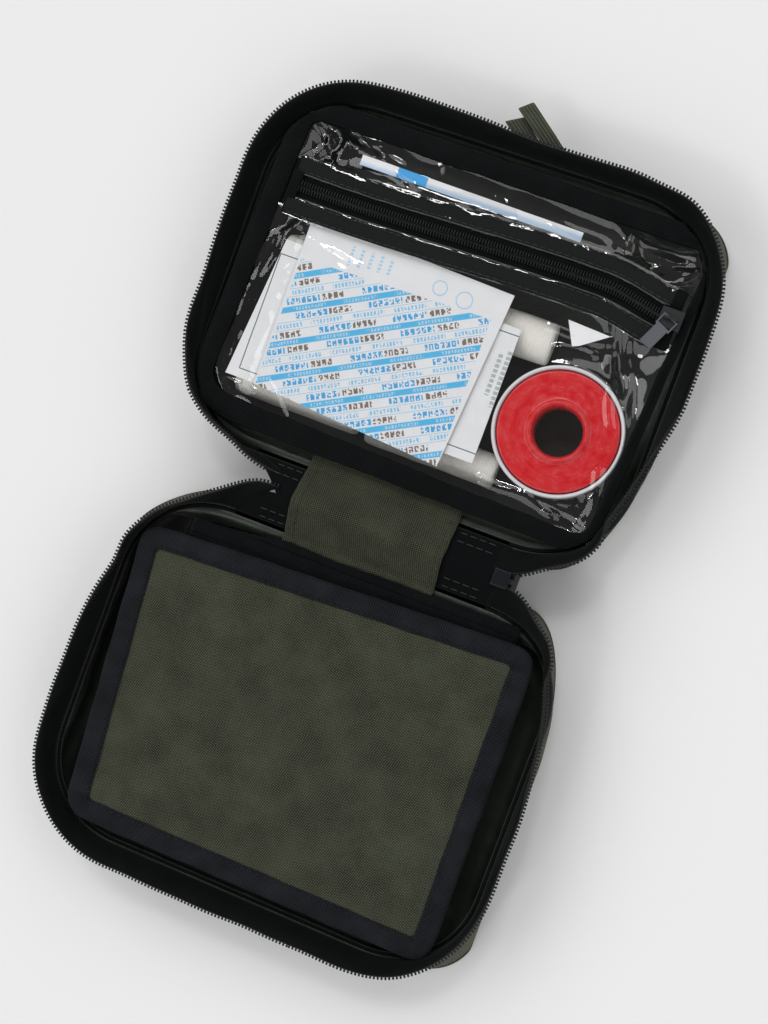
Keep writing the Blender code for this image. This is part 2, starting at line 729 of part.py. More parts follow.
def packed_goods():
    """Goods in the pocket and under the cover."""
    mid = FLOOR_Z + ROLL_RADIUS
    roll("bandage_roll_1", (-0.0755, 0.0940, mid), (-0.0180, 0.0940, mid), ROLL_RADIUS, CREAM)
    roll("bandage_roll_2", (-0.0150, 0.0945, mid), (0.0425, 0.0945, mid), ROLL_RADIUS, CREAM)
    roll("bandage_roll_3", (-0.0755, 0.0420, mid), (-0.0200, 0.0420, mid), ROLL_RADIUS, CREAM)
    roll("bandage_roll_4", (-0.0170, 0.0420, mid), (0.0325, 0.0420, mid), ROLL_RADIUS, CREAM)
    box("gauze_stack", (-0.0700, 0.0560, FLOOR_Z), (0.0180, 0.0810, FLOOR_Z + 0.0180), WHITE,
        edge=0.0010)
    box("dressing_packet", (-0.0770, 0.0385, 0.0230), (0.0300, 0.0960, 0.0238), PAPER,
        turn=math.radians(-1.5))
    box("plaster_sachet", (-0.0675, 0.0355, 0.0242), (0.0200, 0.1085, 0.0251), BLUE,
        turn=math.radians(-2.5))
    box("slim_packet", (-0.0550, 0.1360, 0.0210), (0.0385, 0.1410, 0.0222), WHITE,
        turn=math.radians(-1.0), edge=0.0003)
    box("paper_leaflet", (0.0470, 0.0960, 0.0236), (0.0620, 0.1050, 0.0240), PAPER,
        turn=math.radians(-15.0))
    box("blanket_packet", (-0.0740, -0.1430, FLOOR_Z), (-0.0060, -0.0500, FLOOR_Z + 0.0150), SILVER,
        edge=0.0015)
    box("sling_packet", (0.0040, -0.1430, FLOOR_Z), (0.0740, -0.0860, FLOOR_Z + 0.0140), PAPER,
        edge=0.0015)
    roll("bandage_roll_5", (0.0060, -0.0700, mid), (0.0730, -0.0700, mid), ROLL_RADIUS, CREAM)
    roll("bandage_roll_6", (0.0060, -0.0492, mid), (0.0730, -0.0492, mid), ROLL_RADIUS, CREAM)


def hang_loop():
    """Folded webbing loop sewn under the far rim of the lid, leaning towards -X."""
    length = LOOP_LENGTH
    radius = LOOP_HOLE / 2
    turned_ends = ((length - radius - LOOP_THICK, -math.pi / 2), (radius + LOOP_THICK, math.pi / 2))
    outer = []
    inner = []
    for centre, start in turned_ends:
        for step in range(7):
            angle = start + math.pi * step / 6
            outer.append((centre + (radius + LOOP_THICK) * math.cos(angle),
                          (radius + LOOP_THICK) * math.sin(angle)))
            inner.append((centre + radius * math.cos(angle), radius * math.sin(angle)))
    loops = []
    half = LOOP_WIDTH / 2
    for points, across in ((outer, -half), (outer, half), (inner, half), (inner, -half)):
        loop = []
        for along, high in points:
            x = LOOP_ROOT[0] + across - along * math.sin(LOOP_LEAN)
            y = LOOP_ROOT[1] + along * math.cos(LOOP_LEAN)
            loop.append(Vector((x, y, LOOP_ROOT[2] + high)))
        loops.append(loop)
    return stack("hang_loop", loops, OLIVE, ring=True)


cutters = bpy.data.collections.new("cutters")
bpy.context.scene.collection.children.link(cutters)
cutters.hide_render = True

half_shell("base", -1)
half_shell("lid", 1)
spine()
cover()
pocket()
sliders()
reel()
packed_goods()
hang_loop()


def pivot_on(names, pivot):
    """Puts the origin of each named piece on its joint axis without moving the piece."""
    shift = Vector(pivot)
    for name in names:
        obj = kit.objects[name]
        if obj.matrix_world.translation.length > 0.0 or obj.location.length > 0.0:
            continue
        obj.data.transform(Matrix.Translation(-shift))
        obj.location = shift


LID_PREFIXES = ("lid_", "pocket_", "bandage_roll_", "hinge_patch_hem")
moving_with_lid = []
for obj in kit.objects:
    if obj.name.startswith(LID_PREFIXES) or obj.name in LID_GOODS:
        moving_with_lid.append(obj.name)
under_cover = ("bandage_roll_5", "bandage_roll_6")
pivot_on([name for name in moving_with_lid if name not in under_cover], (0.0, 0.0, FOLD_Z))
pivot_on(("cover_panel", "cover_binding", "cover_hook_strip"), COVER_AXIS)
pivot_on(("hang_loop",), LOOP_ROOT)

for piece in list(kit.objects) + list(cutters.objects):
    piece.location.y += FOLD_Y
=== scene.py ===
"""Looks of the open first aid kit: cloth shell, zips, clear pocket and packed goods on the CAD frame.

Lengths are metres. Shapes are written in the fold frame: y = 0 is the fold between the two
halves, the lid lies on +Y and the base on -Y. FOLD_Y moves them into the frame of the CAD.
"""
import json
import math

import bpy
import numpy as np
from mathutils import Matrix, Vector, noise


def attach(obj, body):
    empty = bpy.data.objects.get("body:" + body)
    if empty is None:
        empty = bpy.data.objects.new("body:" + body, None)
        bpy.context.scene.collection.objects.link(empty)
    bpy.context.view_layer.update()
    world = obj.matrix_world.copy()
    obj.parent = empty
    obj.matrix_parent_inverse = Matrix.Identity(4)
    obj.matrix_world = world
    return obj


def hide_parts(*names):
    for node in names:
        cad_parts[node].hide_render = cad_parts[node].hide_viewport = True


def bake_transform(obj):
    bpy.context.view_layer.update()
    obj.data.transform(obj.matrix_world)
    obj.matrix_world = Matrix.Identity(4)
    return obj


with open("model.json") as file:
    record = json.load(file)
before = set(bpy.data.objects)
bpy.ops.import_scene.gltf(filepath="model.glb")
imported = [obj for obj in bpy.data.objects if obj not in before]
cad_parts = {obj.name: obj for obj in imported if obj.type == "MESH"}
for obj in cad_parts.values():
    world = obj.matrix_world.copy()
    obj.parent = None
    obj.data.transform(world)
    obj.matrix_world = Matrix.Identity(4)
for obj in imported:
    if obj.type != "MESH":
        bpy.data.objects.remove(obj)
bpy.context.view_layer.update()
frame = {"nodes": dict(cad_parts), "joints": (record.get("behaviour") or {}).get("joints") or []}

FOLD_Y = frame["joints"][0]["pos_m"][1]

# Corners are given as reach along x, reach along y, and power of the superellipse.
# Zip rim of each half
RIM_WIDTH = 0.2
RIM_LENGTH = 0.1678
RIM_TOP_Z = 0.0312
RIM_NEAR_LEFT = (0.061, 0.093, 2.2)
RIM_NEAR_RIGHT = (0.041, 0.091, 2.2)
RIM_FAR = (0.05, 0.051, 2.25)
FOLD_GAP = 0.0024

# Wall top, where the zip tape is sewn on, and wall foot
TOP_WIDTH, TOP_NEAR, TOP_FAR, TOP_Z = 0.19, 0.0115, 0.162, 0.021
TOP_CORNER = (0.04, 0.04, 2.15)
FOOT_WIDTH, FOOT_NEAR, FOOT_FAR, FOOT_Z = 0.197, 0.0085, 0.165, 0.0018
FOOT_NEAR_LEFT = (0.03, 0.024, 1.35)
FOOT_NEAR_RIGHT = (0.03, 0.09, 2.3)
FOOT_RIGHT_X = 0.0972
FOOT_FAR_CORNER = (0.024, 0.024, 2.1)

TOOTH_PITCH = 0.0015
CORNER_STEPS = 26
SIDE_STEPS = 22
END_STEPS = 34


# ---------------------------------------------------------------- materials

class Field:
    """A number that a material works out at each spot, put together with ordinary arithmetic."""

    def __init__(self, shade, socket):
        self.shade = shade
        self.socket = socket

    def op(self, operation, other=0.0):
        made = self.shade.node("ShaderNodeMath", {0: self, 1: other}, operation=operation)
        return Field(self.shade, made.outputs[0])

    def __add__(self, other):
        return self.op("ADD", other)

    def __sub__(self, other):
        return self.op("SUBTRACT", other)

    def __mul__(self, other):
        return self.op("MULTIPLY", other)

    def __truediv__(self, other):
        return self.op("DIVIDE", other)

    def __abs__(self):
        return self.op("ABSOLUTE")

    def fraction(self):
        return self.op("FRACT")

    def wave(self, period):
        """Sine of a length, with the given period."""
        return (self * (2 * math.pi / period)).op("SINE")

    def clamped(self):
        """The sum just made, kept between 0 and 1."""
        self.socket.node.use_clamp = True
        return self

    def level(self, low, high, out_low=0.0, out_high=1.0):
        """Straight ramp from one range to another, flat beyond its ends."""
        made = self.shade.node("ShaderNodeMapRange", {"Value": self, "From Min": low, "From Max": high,
                                                      "To Min": out_low, "To Max": out_high})
        return Field(self.shade, made.outputs[0])

    def within(self, low, high, soft):
        """1 between two levels and 0 outside them, with soft edges."""
        return self.level(low - soft, low + soft) * self.level(high - soft, high + soft, 1.0, 0.0)


class Shade:
    """A Principled material and the nodes that paint it."""

    def __init__(self, name, roughness=0.8, sheen=0.0, specular=0.5, coat=0.0, metallic=0.0):
        self.mat = bpy.data.materials.new(name)
        self.mat.use_nodes = True
        self.tree = self.mat.node_tree
        self.bsdf = self.tree.nodes["Principled BSDF"]
        for key, value in (("Roughness", roughness), ("Specular IOR Level", specular),
                           ("Sheen Weight", sheen), ("Sheen Roughness", 0.45),
                           ("Coat Weight", coat), ("Metallic", metallic)):
            self.bsdf.inputs[key].default_value = value
        # The piece's own cloth map in metres: along it, and across it
        self.uv = self.node("ShaderNodeUVMap", uv_map="cloth").outputs[0]
        split = self.node("ShaderNodeSeparateXYZ", {0: self.uv})
        self.x = Field(self, split.outputs[0])
        self.y = Field(self, split.outputs[1])

    def feed(self, socket, value):
        """Gives a socket a number, a colour, a Field or another socket."""
        if isinstance(value, Field):
            value = value.socket
        if isinstance(value, bpy.types.NodeSocket):
            self.tree.links.new(value, socket)
        else:
            socket.default_value = (*value, 1.0) if isinstance(value, tuple) else value

    def node(self, kind, feeds=None, **settings):
        made = self.tree.nodes.new(kind)
        for key, value in settings.items():
            setattr(made, key, value)
        for key, value in (feeds or {}).items():
            self.feed(made.inputs[key], value)
        return made

    def blotch(self, size, detail=2.0, rough=0.5, twist=0.0):
        """Cloudy noise with features of about this size, from 0 to 1."""
        made = self.node("ShaderNodeTexNoise", {"Vector": self.uv, "Scale": 1.0 / size,
                                                "Detail": detail, "Roughness": rough,
                                                "Distortion": twist})
        return Field(self, made.outputs["Fac"])

    def mix(self, factor, first, second):
        """Blend of two colours."""
        made = self.node("ShaderNodeMix", {0: factor, 6: first, 7: second}, data_type="RGBA")
        return made.outputs[2]

    def bump(self, height, distance, strength, after=None):
        made = self.node("ShaderNodeBump", {"Height": height, "Distance": distance,
                                            "Strength": strength})
        if after is not None:
            self.feed(made.inputs["Normal"], after)
        return made.outputs[0]

    def done(self, colour, roughness=None, normal=None):
        self.feed(self.bsdf.inputs["Base Color"], colour)
        for key, value in (("Roughness", roughness), ("Normal", normal)):
            if value is not None:
                self.feed(self.bsdf.inputs[key], value)
        return self.mat


def woven(name, dark, light, pitch=0.0006, relief=0.00012, sheen=0.15, turn=0.0):
    """Plain weave: threads cross over and under, holes where four threads meet."""
    s = Shade(name, 0.85, sheen, 0.06)
    x = s.x * math.cos(turn) + s.y * math.sin(turn)
    y = s.y * math.cos(turn) - s.x * math.sin(turn)
    over = x.wave(2 * pitch) * y.wave(2 * pitch)
    thread = abs(over).op("POWER", 0.5)
    cloud = s.blotch(0.018, 3.0, 0.6)
    tone = thread * 0.62 + over * 0.38 + s.blotch(0.0004, 1.0).level(0.25, 0.75, -0.16, 0.16)
    tone = (tone + cloud.level(0.3, 0.7, -0.1, 0.1)).clamped()
    return s.done(s.mix(tone, dark, light), cloud.level(0.3, 0.7, 0.77, 0.91),
                  s.bump(thread + over * 0.35, relief, 0.9))


def ribbed(name, dark, light, pitch, relief=0.00016, across=False, roughness=0.75, sheen=0.2,
           groove=None):
    """Grosgrain tape: fine ribs over its width, fuzzy fibres, and a stitched groove with painted shade in
    it.
    """
    s = Shade(name, roughness, sheen, 0.06)
    run, side = (s.y, s.x) if across else (s.x, s.y)
    rib = run.wave(pitch) * 0.5 + 0.5
    weave = side.wave(pitch * 0.8) * 0.5 + 0.5
    fibre = s.blotch(0.0005)
    tone = rib * 0.45 + weave * 0.12 + fibre.level(0.2, 0.8, -0.05, 0.35)
    tone = (tone + s.blotch(0.012).level(0.3, 0.7, -0.14, 0.14)).clamped()
    height = rib + fibre * 0.5
    if groove is not None:
        gap = abs(side - groove)
        # Painted shade: the tone is darkened in the pressed-in stitched groove
        tone = tone * gap.level(0.0002, 0.0007, 0.35, 1.0)
        height = height + gap.level(0.0002, 0.0007) * 1.6
    return s.done(s.mix(tone, dark, light), None, s.bump(height, relief, 0.9))


def coated(name, dark, light, roughness):
    """Shiny coated nylon lining with a fine grain and small creases."""
    s = Shade(name, roughness, 0.1)
    crease = s.blotch(0.006, 3.0, 0.55)
    tone = s.blotch(0.014, 4.0, 0.6).level(0.28, 0.72)
    grain = s.x.wave(0.00056) * s.y.wave(0.00056)
    normal = s.bump(grain, 0.000015, 0.4, s.bump(crease, 0.0004, 0.8))
    rough = crease.level(0.3, 0.7, roughness - 0.1, roughness + 0.15)
    return s.done(s.mix(tone, dark, light), rough, normal)


def plastic(name, colour, roughness, specular=0.5, coat=0.0, wear=0.05, metallic=0.0, grain=0.0):
    """Moulded plastic, thread or metal with faint scuffs."""
    s = Shade(name, roughness, 0.0, specular, coat, metallic)
    scuff = s.blotch(0.003, 4.0, 0.65)
    worn = tuple(min(1.0, part + wear) for part in colour)
    rough = scuff.level(0.3, 0.7, max(0.02, roughness - 0.06), roughness + 0.1)
    normal = s.bump(s.blotch(0.0008), 0.00005 + grain, 0.4) if grain else None
    return s.done(s.mix(scuff.level(0.35, 0.75), colour, worn), rough, normal)


def crepe():
    """Elastic bandage: close ribs and fluff."""
    s = Shade("crepe_bandage", 0.95, 0.3, 0.2)
    rib = s.y.wave(0.0011)
    fluff = s.blotch(0.0007, 3.0, 0.7)
    tone = (rib.level(-1, 1, 0.2, 0.6) + fluff.level(0.3, 0.7, -0.2, 0.4)).clamped()
    return s.done(s.mix(tone, (0.74, 0.71, 0.65), (0.86, 0.84, 0.79)), None,
                  s.bump(rib * 0.5 + fluff, 0.00012, 0.6))


def foil():
    """Crumpled metallised film, painted darker in the crumples' hollows and lighter on their ridges."""
    s = Shade("foil_pouch", 0.28, metallic=0.9)
    crumple = s.blotch(0.011, 6.0, 0.62)
    # Painted shade and painted light: the colour follows the crumples' height
    return s.done(s.mix(crumple.level(0.3, 0.7), (0.45, 0.46, 0.48), (0.72, 0.73, 0.75)), None,
                  s.bump(crumple, 0.0016, 0.9))


def paper(name, roughness=0.5, dim=0.93):
    """Crumpled white paper: the material begun, its colour with painted shade in the crumples' hollows, and
    its surface.
    """
    s = Shade(name, roughness, 0.0, 0.4)
    white = (0.8, 0.8, 0.82)
    crumple = s.blotch(0.009, 5.0, 0.6)
    # Painted shade: the white is darkened where the crumples sink, following the noise of their bump
    base = s.mix(crumple.level(0.3, 0.7), tuple(part * dim for part in white), white)
    return s, base, s.bump(s.blotch(0.0012, 3.0), 0.00006, 0.5, s.bump(crumple, 0.0004, 0.6))


def plain_paper():
    """White paper without a print."""
    s, base, normal = paper("white_paper")
    return s.done(base, None, normal)


def packet_print():
    """White packet with a thin dark green border line and short generic marks."""
    s, base, normal = paper("packet_paper")
    left, right, low, high = -0.0738, 0.0325, 0.0425, 0.0922
    marks = s.x * 0.0
    for off in (s.x - left, s.x - right):
        line = abs(off).level(0.00012, 0.0003, 1.0, 0.0) * s.y.within(low, high, 0.0001)
        marks = marks.op("MAXIMUM", line)
    for off in (s.y - low, s.y - high):
        line = abs(off).level(0.00012, 0.0003, 1.0, 0.0) * s.x.within(left, right, 0.0001)
        marks = marks.op("MAXIMUM", line)
    for at, first, last in ((0.0258, 0.066, 0.084), (0.029, 0.062, 0.086)):
        row = s.x.within(at - 0.0009, at + 0.0009, 0.0001) * s.y.within(first, last, 0.0002)
        beat = (s.y / 0.0021).fraction().level(0.66, 0.7, 0.48, 0.0)
        marks = marks.op("MAXIMUM", row * beat)
    return s.done(s.mix(marks, base, (0.03, 0.115, 0.09)), None, normal)


def sachet_print():
    """Light blue bands and rows of generic dashes, slanting over a white sachet."""
    s, paint, normal = paper("sachet_paper", 0.38, 0.95)
    x, y = s.x, s.y
    turn = math.radians(27.5)
    run = x * math.cos(turn) + y * math.sin(turn)
    rows = (y * math.cos(turn) - x * math.sin(turn) + 1.0) / 0.0133
    row = rows.fraction()
    wobble = (rows.op("FLOOR") * 0.37).fraction()

    def dashes(pitch, fill, word, word_fill, offset):
        """Broken marks of letter size, grouped into longer runs."""
        at = run + (wobble * word + (offset + 1.0))
        letter = at / pitch
        cell = s.node("ShaderNodeCombineXYZ", {0: (letter * 4.0).op("FLOOR"),
                                               1: (rows * 22.0).op("FLOOR")})
        speck = s.node("ShaderNodeTexWhiteNoise", {}, noise_dimensions="2D")
        s.feed(speck.inputs["Vector"], cell.outputs[0])
        mark = letter.fraction().level(fill, fill + 0.06, 1.0, 0.0)
        mark = mark * Field(s, speck.outputs["Value"]).level(0.24, 0.26)
        return mark * (at / word).fraction().level(word_fill, word_fill + 0.01, 1.0, 0.0)

    blue, brown, pale = (0.06, 0.38, 0.72), (0.2, 0.155, 0.13), (0.22, 0.54, 0.8)
    inside = x.within(-0.0648, 0.0172, 0.0001) * (y - x * 0.02).within(0.02, 0.0945, 0.0001)
    gaps = row.within(0.07, 0.17, 0.006) * dashes(0.0013, 0.62, 0.021, 0.66, 0.0)
    layers = [(row.within(0.03, 0.21, 0.008) * (gaps * -0.55 + 1.0), (0.09, 0.47, 0.78))]
    for low, high, shift in ((0.265, 0.45, 0.004), (0.8, 0.985, 0.013)):
        tall = row.within(low, high, 0.008)
        layers.append((tall * dashes(0.0023, 0.7, 0.031, 0.44, shift), blue))
        layers.append((tall * dashes(0.0023, 0.7, 0.031, 0.3, shift + 0.0165), brown))
    layers.append((row.within(0.555, 0.69, 0.008) * dashes(0.0014, 0.6, 0.017, 0.78, 0.0), pale))
    layers += [(row.within(at - 0.008, at + 0.008, 0.005), pale) for at in (0.5, 0.745)]
    layers = [(mask * inside, colour) for mask, colour in layers]
    for cx, cy, radius in ((-0.0065, 0.1, 0.0029), (0.0045, 0.0985, 0.0033)):
        dx, dy = x - cx, y - cy
        away = (dx * dx + dy * dy).op("SQRT")
        layers.append((abs(away - radius).level(0.00012, 0.0003, 0.8, 0.0), pale))
    for k in range(5):
        at = -0.046 + 0.0042 * k
        line = x.within(at, at + 0.0013, 0.0002) * y.within(0.0965 + 0.0004 * k, 0.1045, 0.0002)
        beat = ((y + 0.0007 * k) / 0.0016).fraction().level(0.6, 0.66, 0.7, 0.0)
        layers.append((line * beat, pale))
    for mask, colour in layers:
        paint = s.mix(mask, paint, colour)
    return s.done(paint, None, normal)


def slim_print():
    """Slim white packet with one blue band and a bluish near edge."""
    s, base, normal = paper("slim_packet", 0.3)
    paint = s.mix(s.y.level(0.1374, 0.139, 0.55, 0.0), base, (0.25, 0.52, 0.8))
    band = s.x.within(-0.04, -0.027, 0.0003)
    return s.done(s.mix(band, paint, (0.07, 0.36, 0.72)), None, normal)


def clear_film():
    """Thin clear vinyl: see-through, mirrored more at a slant, with fine wrinkles."""
    s = Shade("clear_vinyl")
    s.tree.nodes.remove(s.bsdf)
    height = s.blotch(0.0125, 3.0, 0.5, 0.8) * abs(s.x).level(0.05, 0.075, 0.16, 0.34)
    wrinkle = s.bump(height, 0.0007, 0.9)
    facing = s.node("ShaderNodeLayerWeight", {"Blend": 0.5, "Normal": wrinkle})
    share = Field(s, facing.outputs["Facing"]).op("POWER", 4.0).level(0.0, 1.0, 0.058, 0.9)
    through = s.node("ShaderNodeBsdfTransparent", {"Color": (0.985, 0.988, 0.988)})
    gloss = s.node("ShaderNodeBsdfGlossy", {"Color": (1.0, 1.0, 1.0), "Roughness": 0.045,
                                            "Normal": wrinkle})
    mixer = s.node("ShaderNodeMixShader", {0: share, 1: through.outputs[0], 2: gloss.outputs[0]})
    s.feed(s.tree.nodes["Material Output"].inputs["Surface"], mixer.outputs[0])
    return s.mat


OLIVE = woven("olive_oxford", (0.007, 0.008, 0.004), (0.132, 0.142, 0.1), relief=0.00024,
              sheen=0.05, turn=0.5)
OLIVE_PATCH = woven("olive_oxford_patch", (0.006, 0.007, 0.003), (0.118, 0.127, 0.088),
                    relief=0.00024, sheen=0.05, turn=0.9)
# Painted light: the same oxford as OLIVE, made lighter for the sheen and side light that the walls catch
OLIVE_WALL_LIT = woven("olive_oxford_wall_painted_light", (0.02, 0.022, 0.013), (0.2, 0.212, 0.145),
                   relief=0.00024)
SPINE_CLOTH = woven("black_spine_cloth", (0.0014, 0.0021, 0.0023), (0.0058, 0.0078, 0.0082),
                    0.0005, sheen=0.03)
TAB_GREY = woven("tab_grey", (0.005, 0.006, 0.0075), (0.018, 0.02, 0.025), 0.0005)
# The stitched groove of this tape carries painted shade
BLACK_TAPE = ribbed("black_grosgrain", (0.0014, 0.0018, 0.0022), (0.023, 0.026, 0.031), 0.00095,
                    groove=0.0118, sheen=0.05)
BLACK_EDGE = ribbed("black_edge_tape", (0.0013, 0.0017, 0.0018), (0.007, 0.0085, 0.009), 0.0008,
                    sheen=0.03)
BLACK_BAND = ribbed("black_pocket_band", (0.0013, 0.0017, 0.0018), (0.008, 0.0098, 0.0104), 0.0008,
                    relief=0.0003, across=True, sheen=0.03)
BLACK_FUZZ = ribbed("black_loop_tape", (0.0014, 0.0018, 0.002), (0.009, 0.0105, 0.0115), 0.0007,
                    relief=0.0003, roughness=0.95, sheen=0.05)
ZIP_TAPE = ribbed("zip_tape_weave", (0.0014, 0.002, 0.002), (0.0064, 0.0082, 0.0084), 0.0011,
                  relief=0.00008, roughness=0.8, sheen=0.03)
WEBBING = ribbed("olive_webbing", (0.026, 0.029, 0.018), (0.13, 0.138, 0.1), 0.0016,
                 relief=0.0004, roughness=0.85)
LINING = coated("green_lining", (0.005, 0.0085, 0.0052), (0.017, 0.026, 0.017), 0.42)
VINYL_EDGE = plastic("vinyl_edge", (0.02, 0.023, 0.026), 0.34, coat=0.15, wear=0.02)
NYLON = plastic("black_nylon", (0.003, 0.0036, 0.0042), 0.42, specular=0.3, wear=0.004)
THREAD = plastic("dull_thread", (0.016, 0.019, 0.018), 0.8, wear=0.02)
THREAD_OLIVE = plastic("olive_thread", (0.03, 0.034, 0.02), 0.8, wear=0.02)
PALE_THREAD = plastic("pale_thread", (0.16, 0.17, 0.17), 0.6, wear=0.1)
RED_PLASTIC = plastic("red_plastic", (0.6, 0.002, 0.008), 0.22, specular=0.4)
WHITE_PLASTIC = plastic("white_plastic", (0.74, 0.74, 0.76), 0.3, wear=0.03)
SLIDER_METAL = plastic("black_slider", (0.03, 0.032, 0.036), 0.32, metallic=0.7)
PULLER_GREY = plastic("grey_puller", (0.07, 0.075, 0.088), 0.55, wear=0.04, grain=0.00005)
CREPE = crepe()
PAPER = plain_paper()
PACKET = packet_print()
SACHET_PRINT = sachet_print()
SLIM = slim_print()
FOIL = foil()
FILM = clear_film()


# ---------------------------------------------------------------- geometry

def lump(x, y, size, seed=0.0):
    """Smooth noise from -1 to 1 over the plan."""
    return noise.noise(Vector((x / size, y / size, seed)))


def lumps(points, size, seed):
    return np.array([lump(x, y, size, seed) for x, y in points])


def strayed(line, depth, size, seed):
    """A flat line that wanders a little from its course."""
    return line + depth * np.column_stack([lumps(line, size, seed), lumps(line, size, seed + 2)])


def distance_run(points):
    """Distance along a polyline at each of its points."""
    return np.concatenate([[0.0], np.cumsum(np.linalg.norm(np.diff(points, axis=0), axis=1))])


def ease(value, low, high):
    """0 below low, 1 above high, smooth between."""
    part = np.clip((value - low) / (high - low), 0.0, 1.0)
    return part * part * (3 - 2 * part)


def surface(rows, closed=False, plan=False):
    """Quads through equal rows of points, with the cloth map in metres: (verts, faces, uvs)."""
    rows = [np.asarray(row, float) for row in rows]
    count = len(rows[0])
    middle = rows[len(rows) // 2]
    if closed:
        middle = np.vstack([middle, middle[:1]])
    run = distance_run(middle)
    steps = [np.linalg.norm(second - first, axis=1).mean() for first, second in zip(rows, rows[1:])]
    rise = np.concatenate([[0.0], np.cumsum(steps)])
    verts = np.vstack(rows)
    faces, uvs = [], []
    for j in range(len(rows) - 1):
        for i in range(count if closed else count - 1):
            k = (i + 1) % count
            faces.append((j * count + i, j * count + k, (j + 1) * count + k, (j + 1) * count + i))
            if plan:
                uvs += [tuple(verts[index][:2]) for index in faces[-1]]
            else:
                uvs += [(run[i], rise[j]), (run[i + 1], rise[j]), (run[i + 1], rise[j + 1]),
                        (run[i], rise[j + 1])]
    return verts, faces, uvs


def capped(shape, count, ends="both"):
    """Fills the first ring, the last ring or both rings of a closed surface."""
    verts, faces, uvs = shape
    rings = {"first": tuple(reversed(range(count))), "last": tuple(range(len(verts) - count, len(verts)))}
    for end in ("first", "last"):
        if ends in (end, "both"):
            faces.append(rings[end])
            uvs += [tuple(verts[index][:2]) for index in rings[end]]
    return verts, faces, uvs


def joined(parts):
    """Several (verts, faces, uvs) as one."""
    verts, faces, uvs = [], [], []
    start = 0
    for some, quads, places in parts:
        verts.append(np.asarray(some, float))
        faces += [tuple(index + start for index in face) for face in quads]
        uvs += list(places)
        start += len(some)
    return np.vstack(verts), faces, uvs


def piece(name, shape, look, body, replaces=(), thick=0.0, lean=-1.0):
    """Body is None for a piece that is attached to no body."""
    verts, faces, uvs = shape
    placed = np.array(verts, float) + (0.0, FOLD_Y, 0.0)
    mesh = bpy.data.meshes.new(name)
    mesh.from_pydata([tuple(point) for point in placed], [], faces)
    layer = mesh.uv_layers.new(name="cloth")
    layer.data.foreach_set("uv", np.asarray(uvs, np.float32).ravel())
    mesh.update()
    obj = bpy.data.objects.new(name, mesh)
    bpy.context.scene.collection.objects.link(obj)
    mesh.materials.append(look)
    for face in mesh.polygons:
        face.use_smooth = True
    if thick:
        solid = obj.modifiers.new("thickness", "SOLIDIFY")
        solid.thickness = thick
        solid.offset = lean
    if body is not None:
        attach(obj, body)
    if replaces:
        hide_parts(*replaces)
    return obj


def quarter(corner, start):
    """One rounded corner of an outline, turning a quarter from start."""
    reach_x, reach_y, power = corner
    turn = start + np.linspace(0.0, math.pi / 2, CORNER_STEPS + 1)
    x = reach_x * np.sign(np.cos(turn)) * np.abs(np.cos(turn)) ** (2 / power)
    y = reach_y * np.sign(np.sin(turn)) * np.abs(np.sin(turn)) ** (2 / power)
    return np.stack([x, y], 1)


def between(first, last, steps):
    """Points strictly between two ends."""
    part = np.linspace(0.0, 1.0, steps + 1)[1:-1, None]
    return np.asarray(first) + (np.asarray(last) - np.asarray(first)) * part


def outline(width, near_y, far_y, near_left, near_right, far, inset=0.0, closed=True):
    """Outline of a half from the right end of its fold side, round the far side, to the left end."""
    half_width, low, high = width / 2 - inset, near_y + inset, far_y - inset
    right, left, top = ((x - inset, y - inset, power) for x, y, power in (near_right, near_left, far))
    corners = (quarter(right, -math.pi / 2) + (half_width - right[0], low + right[1]),
               quarter(top, 0.0) + (half_width - top[0], high - top[1]),
               quarter(top, math.pi / 2) + (-half_width + top[0], high - top[1]),
               quarter(left, math.pi) + (-half_width + left[0], low + left[1]))
    line = corners[0]
    for corner, steps in zip(corners[1:], (SIDE_STEPS, END_STEPS, SIDE_STEPS)):
        line = np.vstack([line, between(line[-1], corner[0], steps), corner])
    if closed:
        line = np.vstack([line, between(line[-1], line[0], END_STEPS)])
    return line


def foot_line(inset=0.0, closed=True, side=0):
    """Line where the wall meets the outer panel."""
    line = outline(FOOT_WIDTH, FOOT_NEAR, FOOT_FAR, FOOT_NEAR_LEFT, FOOT_NEAR_RIGHT, FOOT_FAR_CORNER,
                   inset, closed)
    line[:, 0] = np.minimum(line[:, 0], FOOT_RIGHT_X - inset)
    if side > 0:
        # The lid's near left corner is squashed in
        squash = ease(-line[:, 0], 0.05, 0.08) * (1 - ease(line[:, 1], 0.026, 0.058))
        line += squash[:, None] * (0.0065, 0.005)
    return line


def top_line(inset=0.0, closed=True):
    """Line where the wall meets the zip tape."""
    return outline(TOP_WIDTH, TOP_NEAR, TOP_FAR, TOP_CORNER, TOP_CORNER, TOP_CORNER, inset, closed)


def rim_line(inset=0.0):
    """Line of the zip teeth, open at the fold."""
    line = outline(RIM_WIDTH, FOLD_GAP, RIM_LENGTH, RIM_NEAR_LEFT, RIM_NEAR_RIGHT, RIM_FAR, inset,
                   False)
    drop = inset * np.maximum(0.0, 1 - line[:, 1] / 0.02)
    line[:, 1] = np.maximum(line[:, 1] - drop, FOLD_GAP)
    return line


def wall_line(part, inset, closed=True, side=0):
    """Line round the wall, from its foot (0) to its top (1)."""
    belly = 0.0012 * math.sin(math.pi * part)
    foot = foot_line(inset - belly, closed, side)
    return foot + (top_line(inset - belly, closed) - foot) * part


def wall_height(part):
    return FOOT_Z + (TOP_Z - FOOT_Z) * part


def outward(line, closed):
    """Unit side directions of a flat line, pointing out of an anticlockwise outline."""
    if closed:
        step = np.roll(line, -1, 0) - np.roll(line, 1, 0)
    else:
        step = np.gradient(line, axis=0)
    length = np.linalg.norm(step, axis=1)[:, None] + 1e-12
    return np.stack([step[:, 1], -step[:, 0]], 1) / length


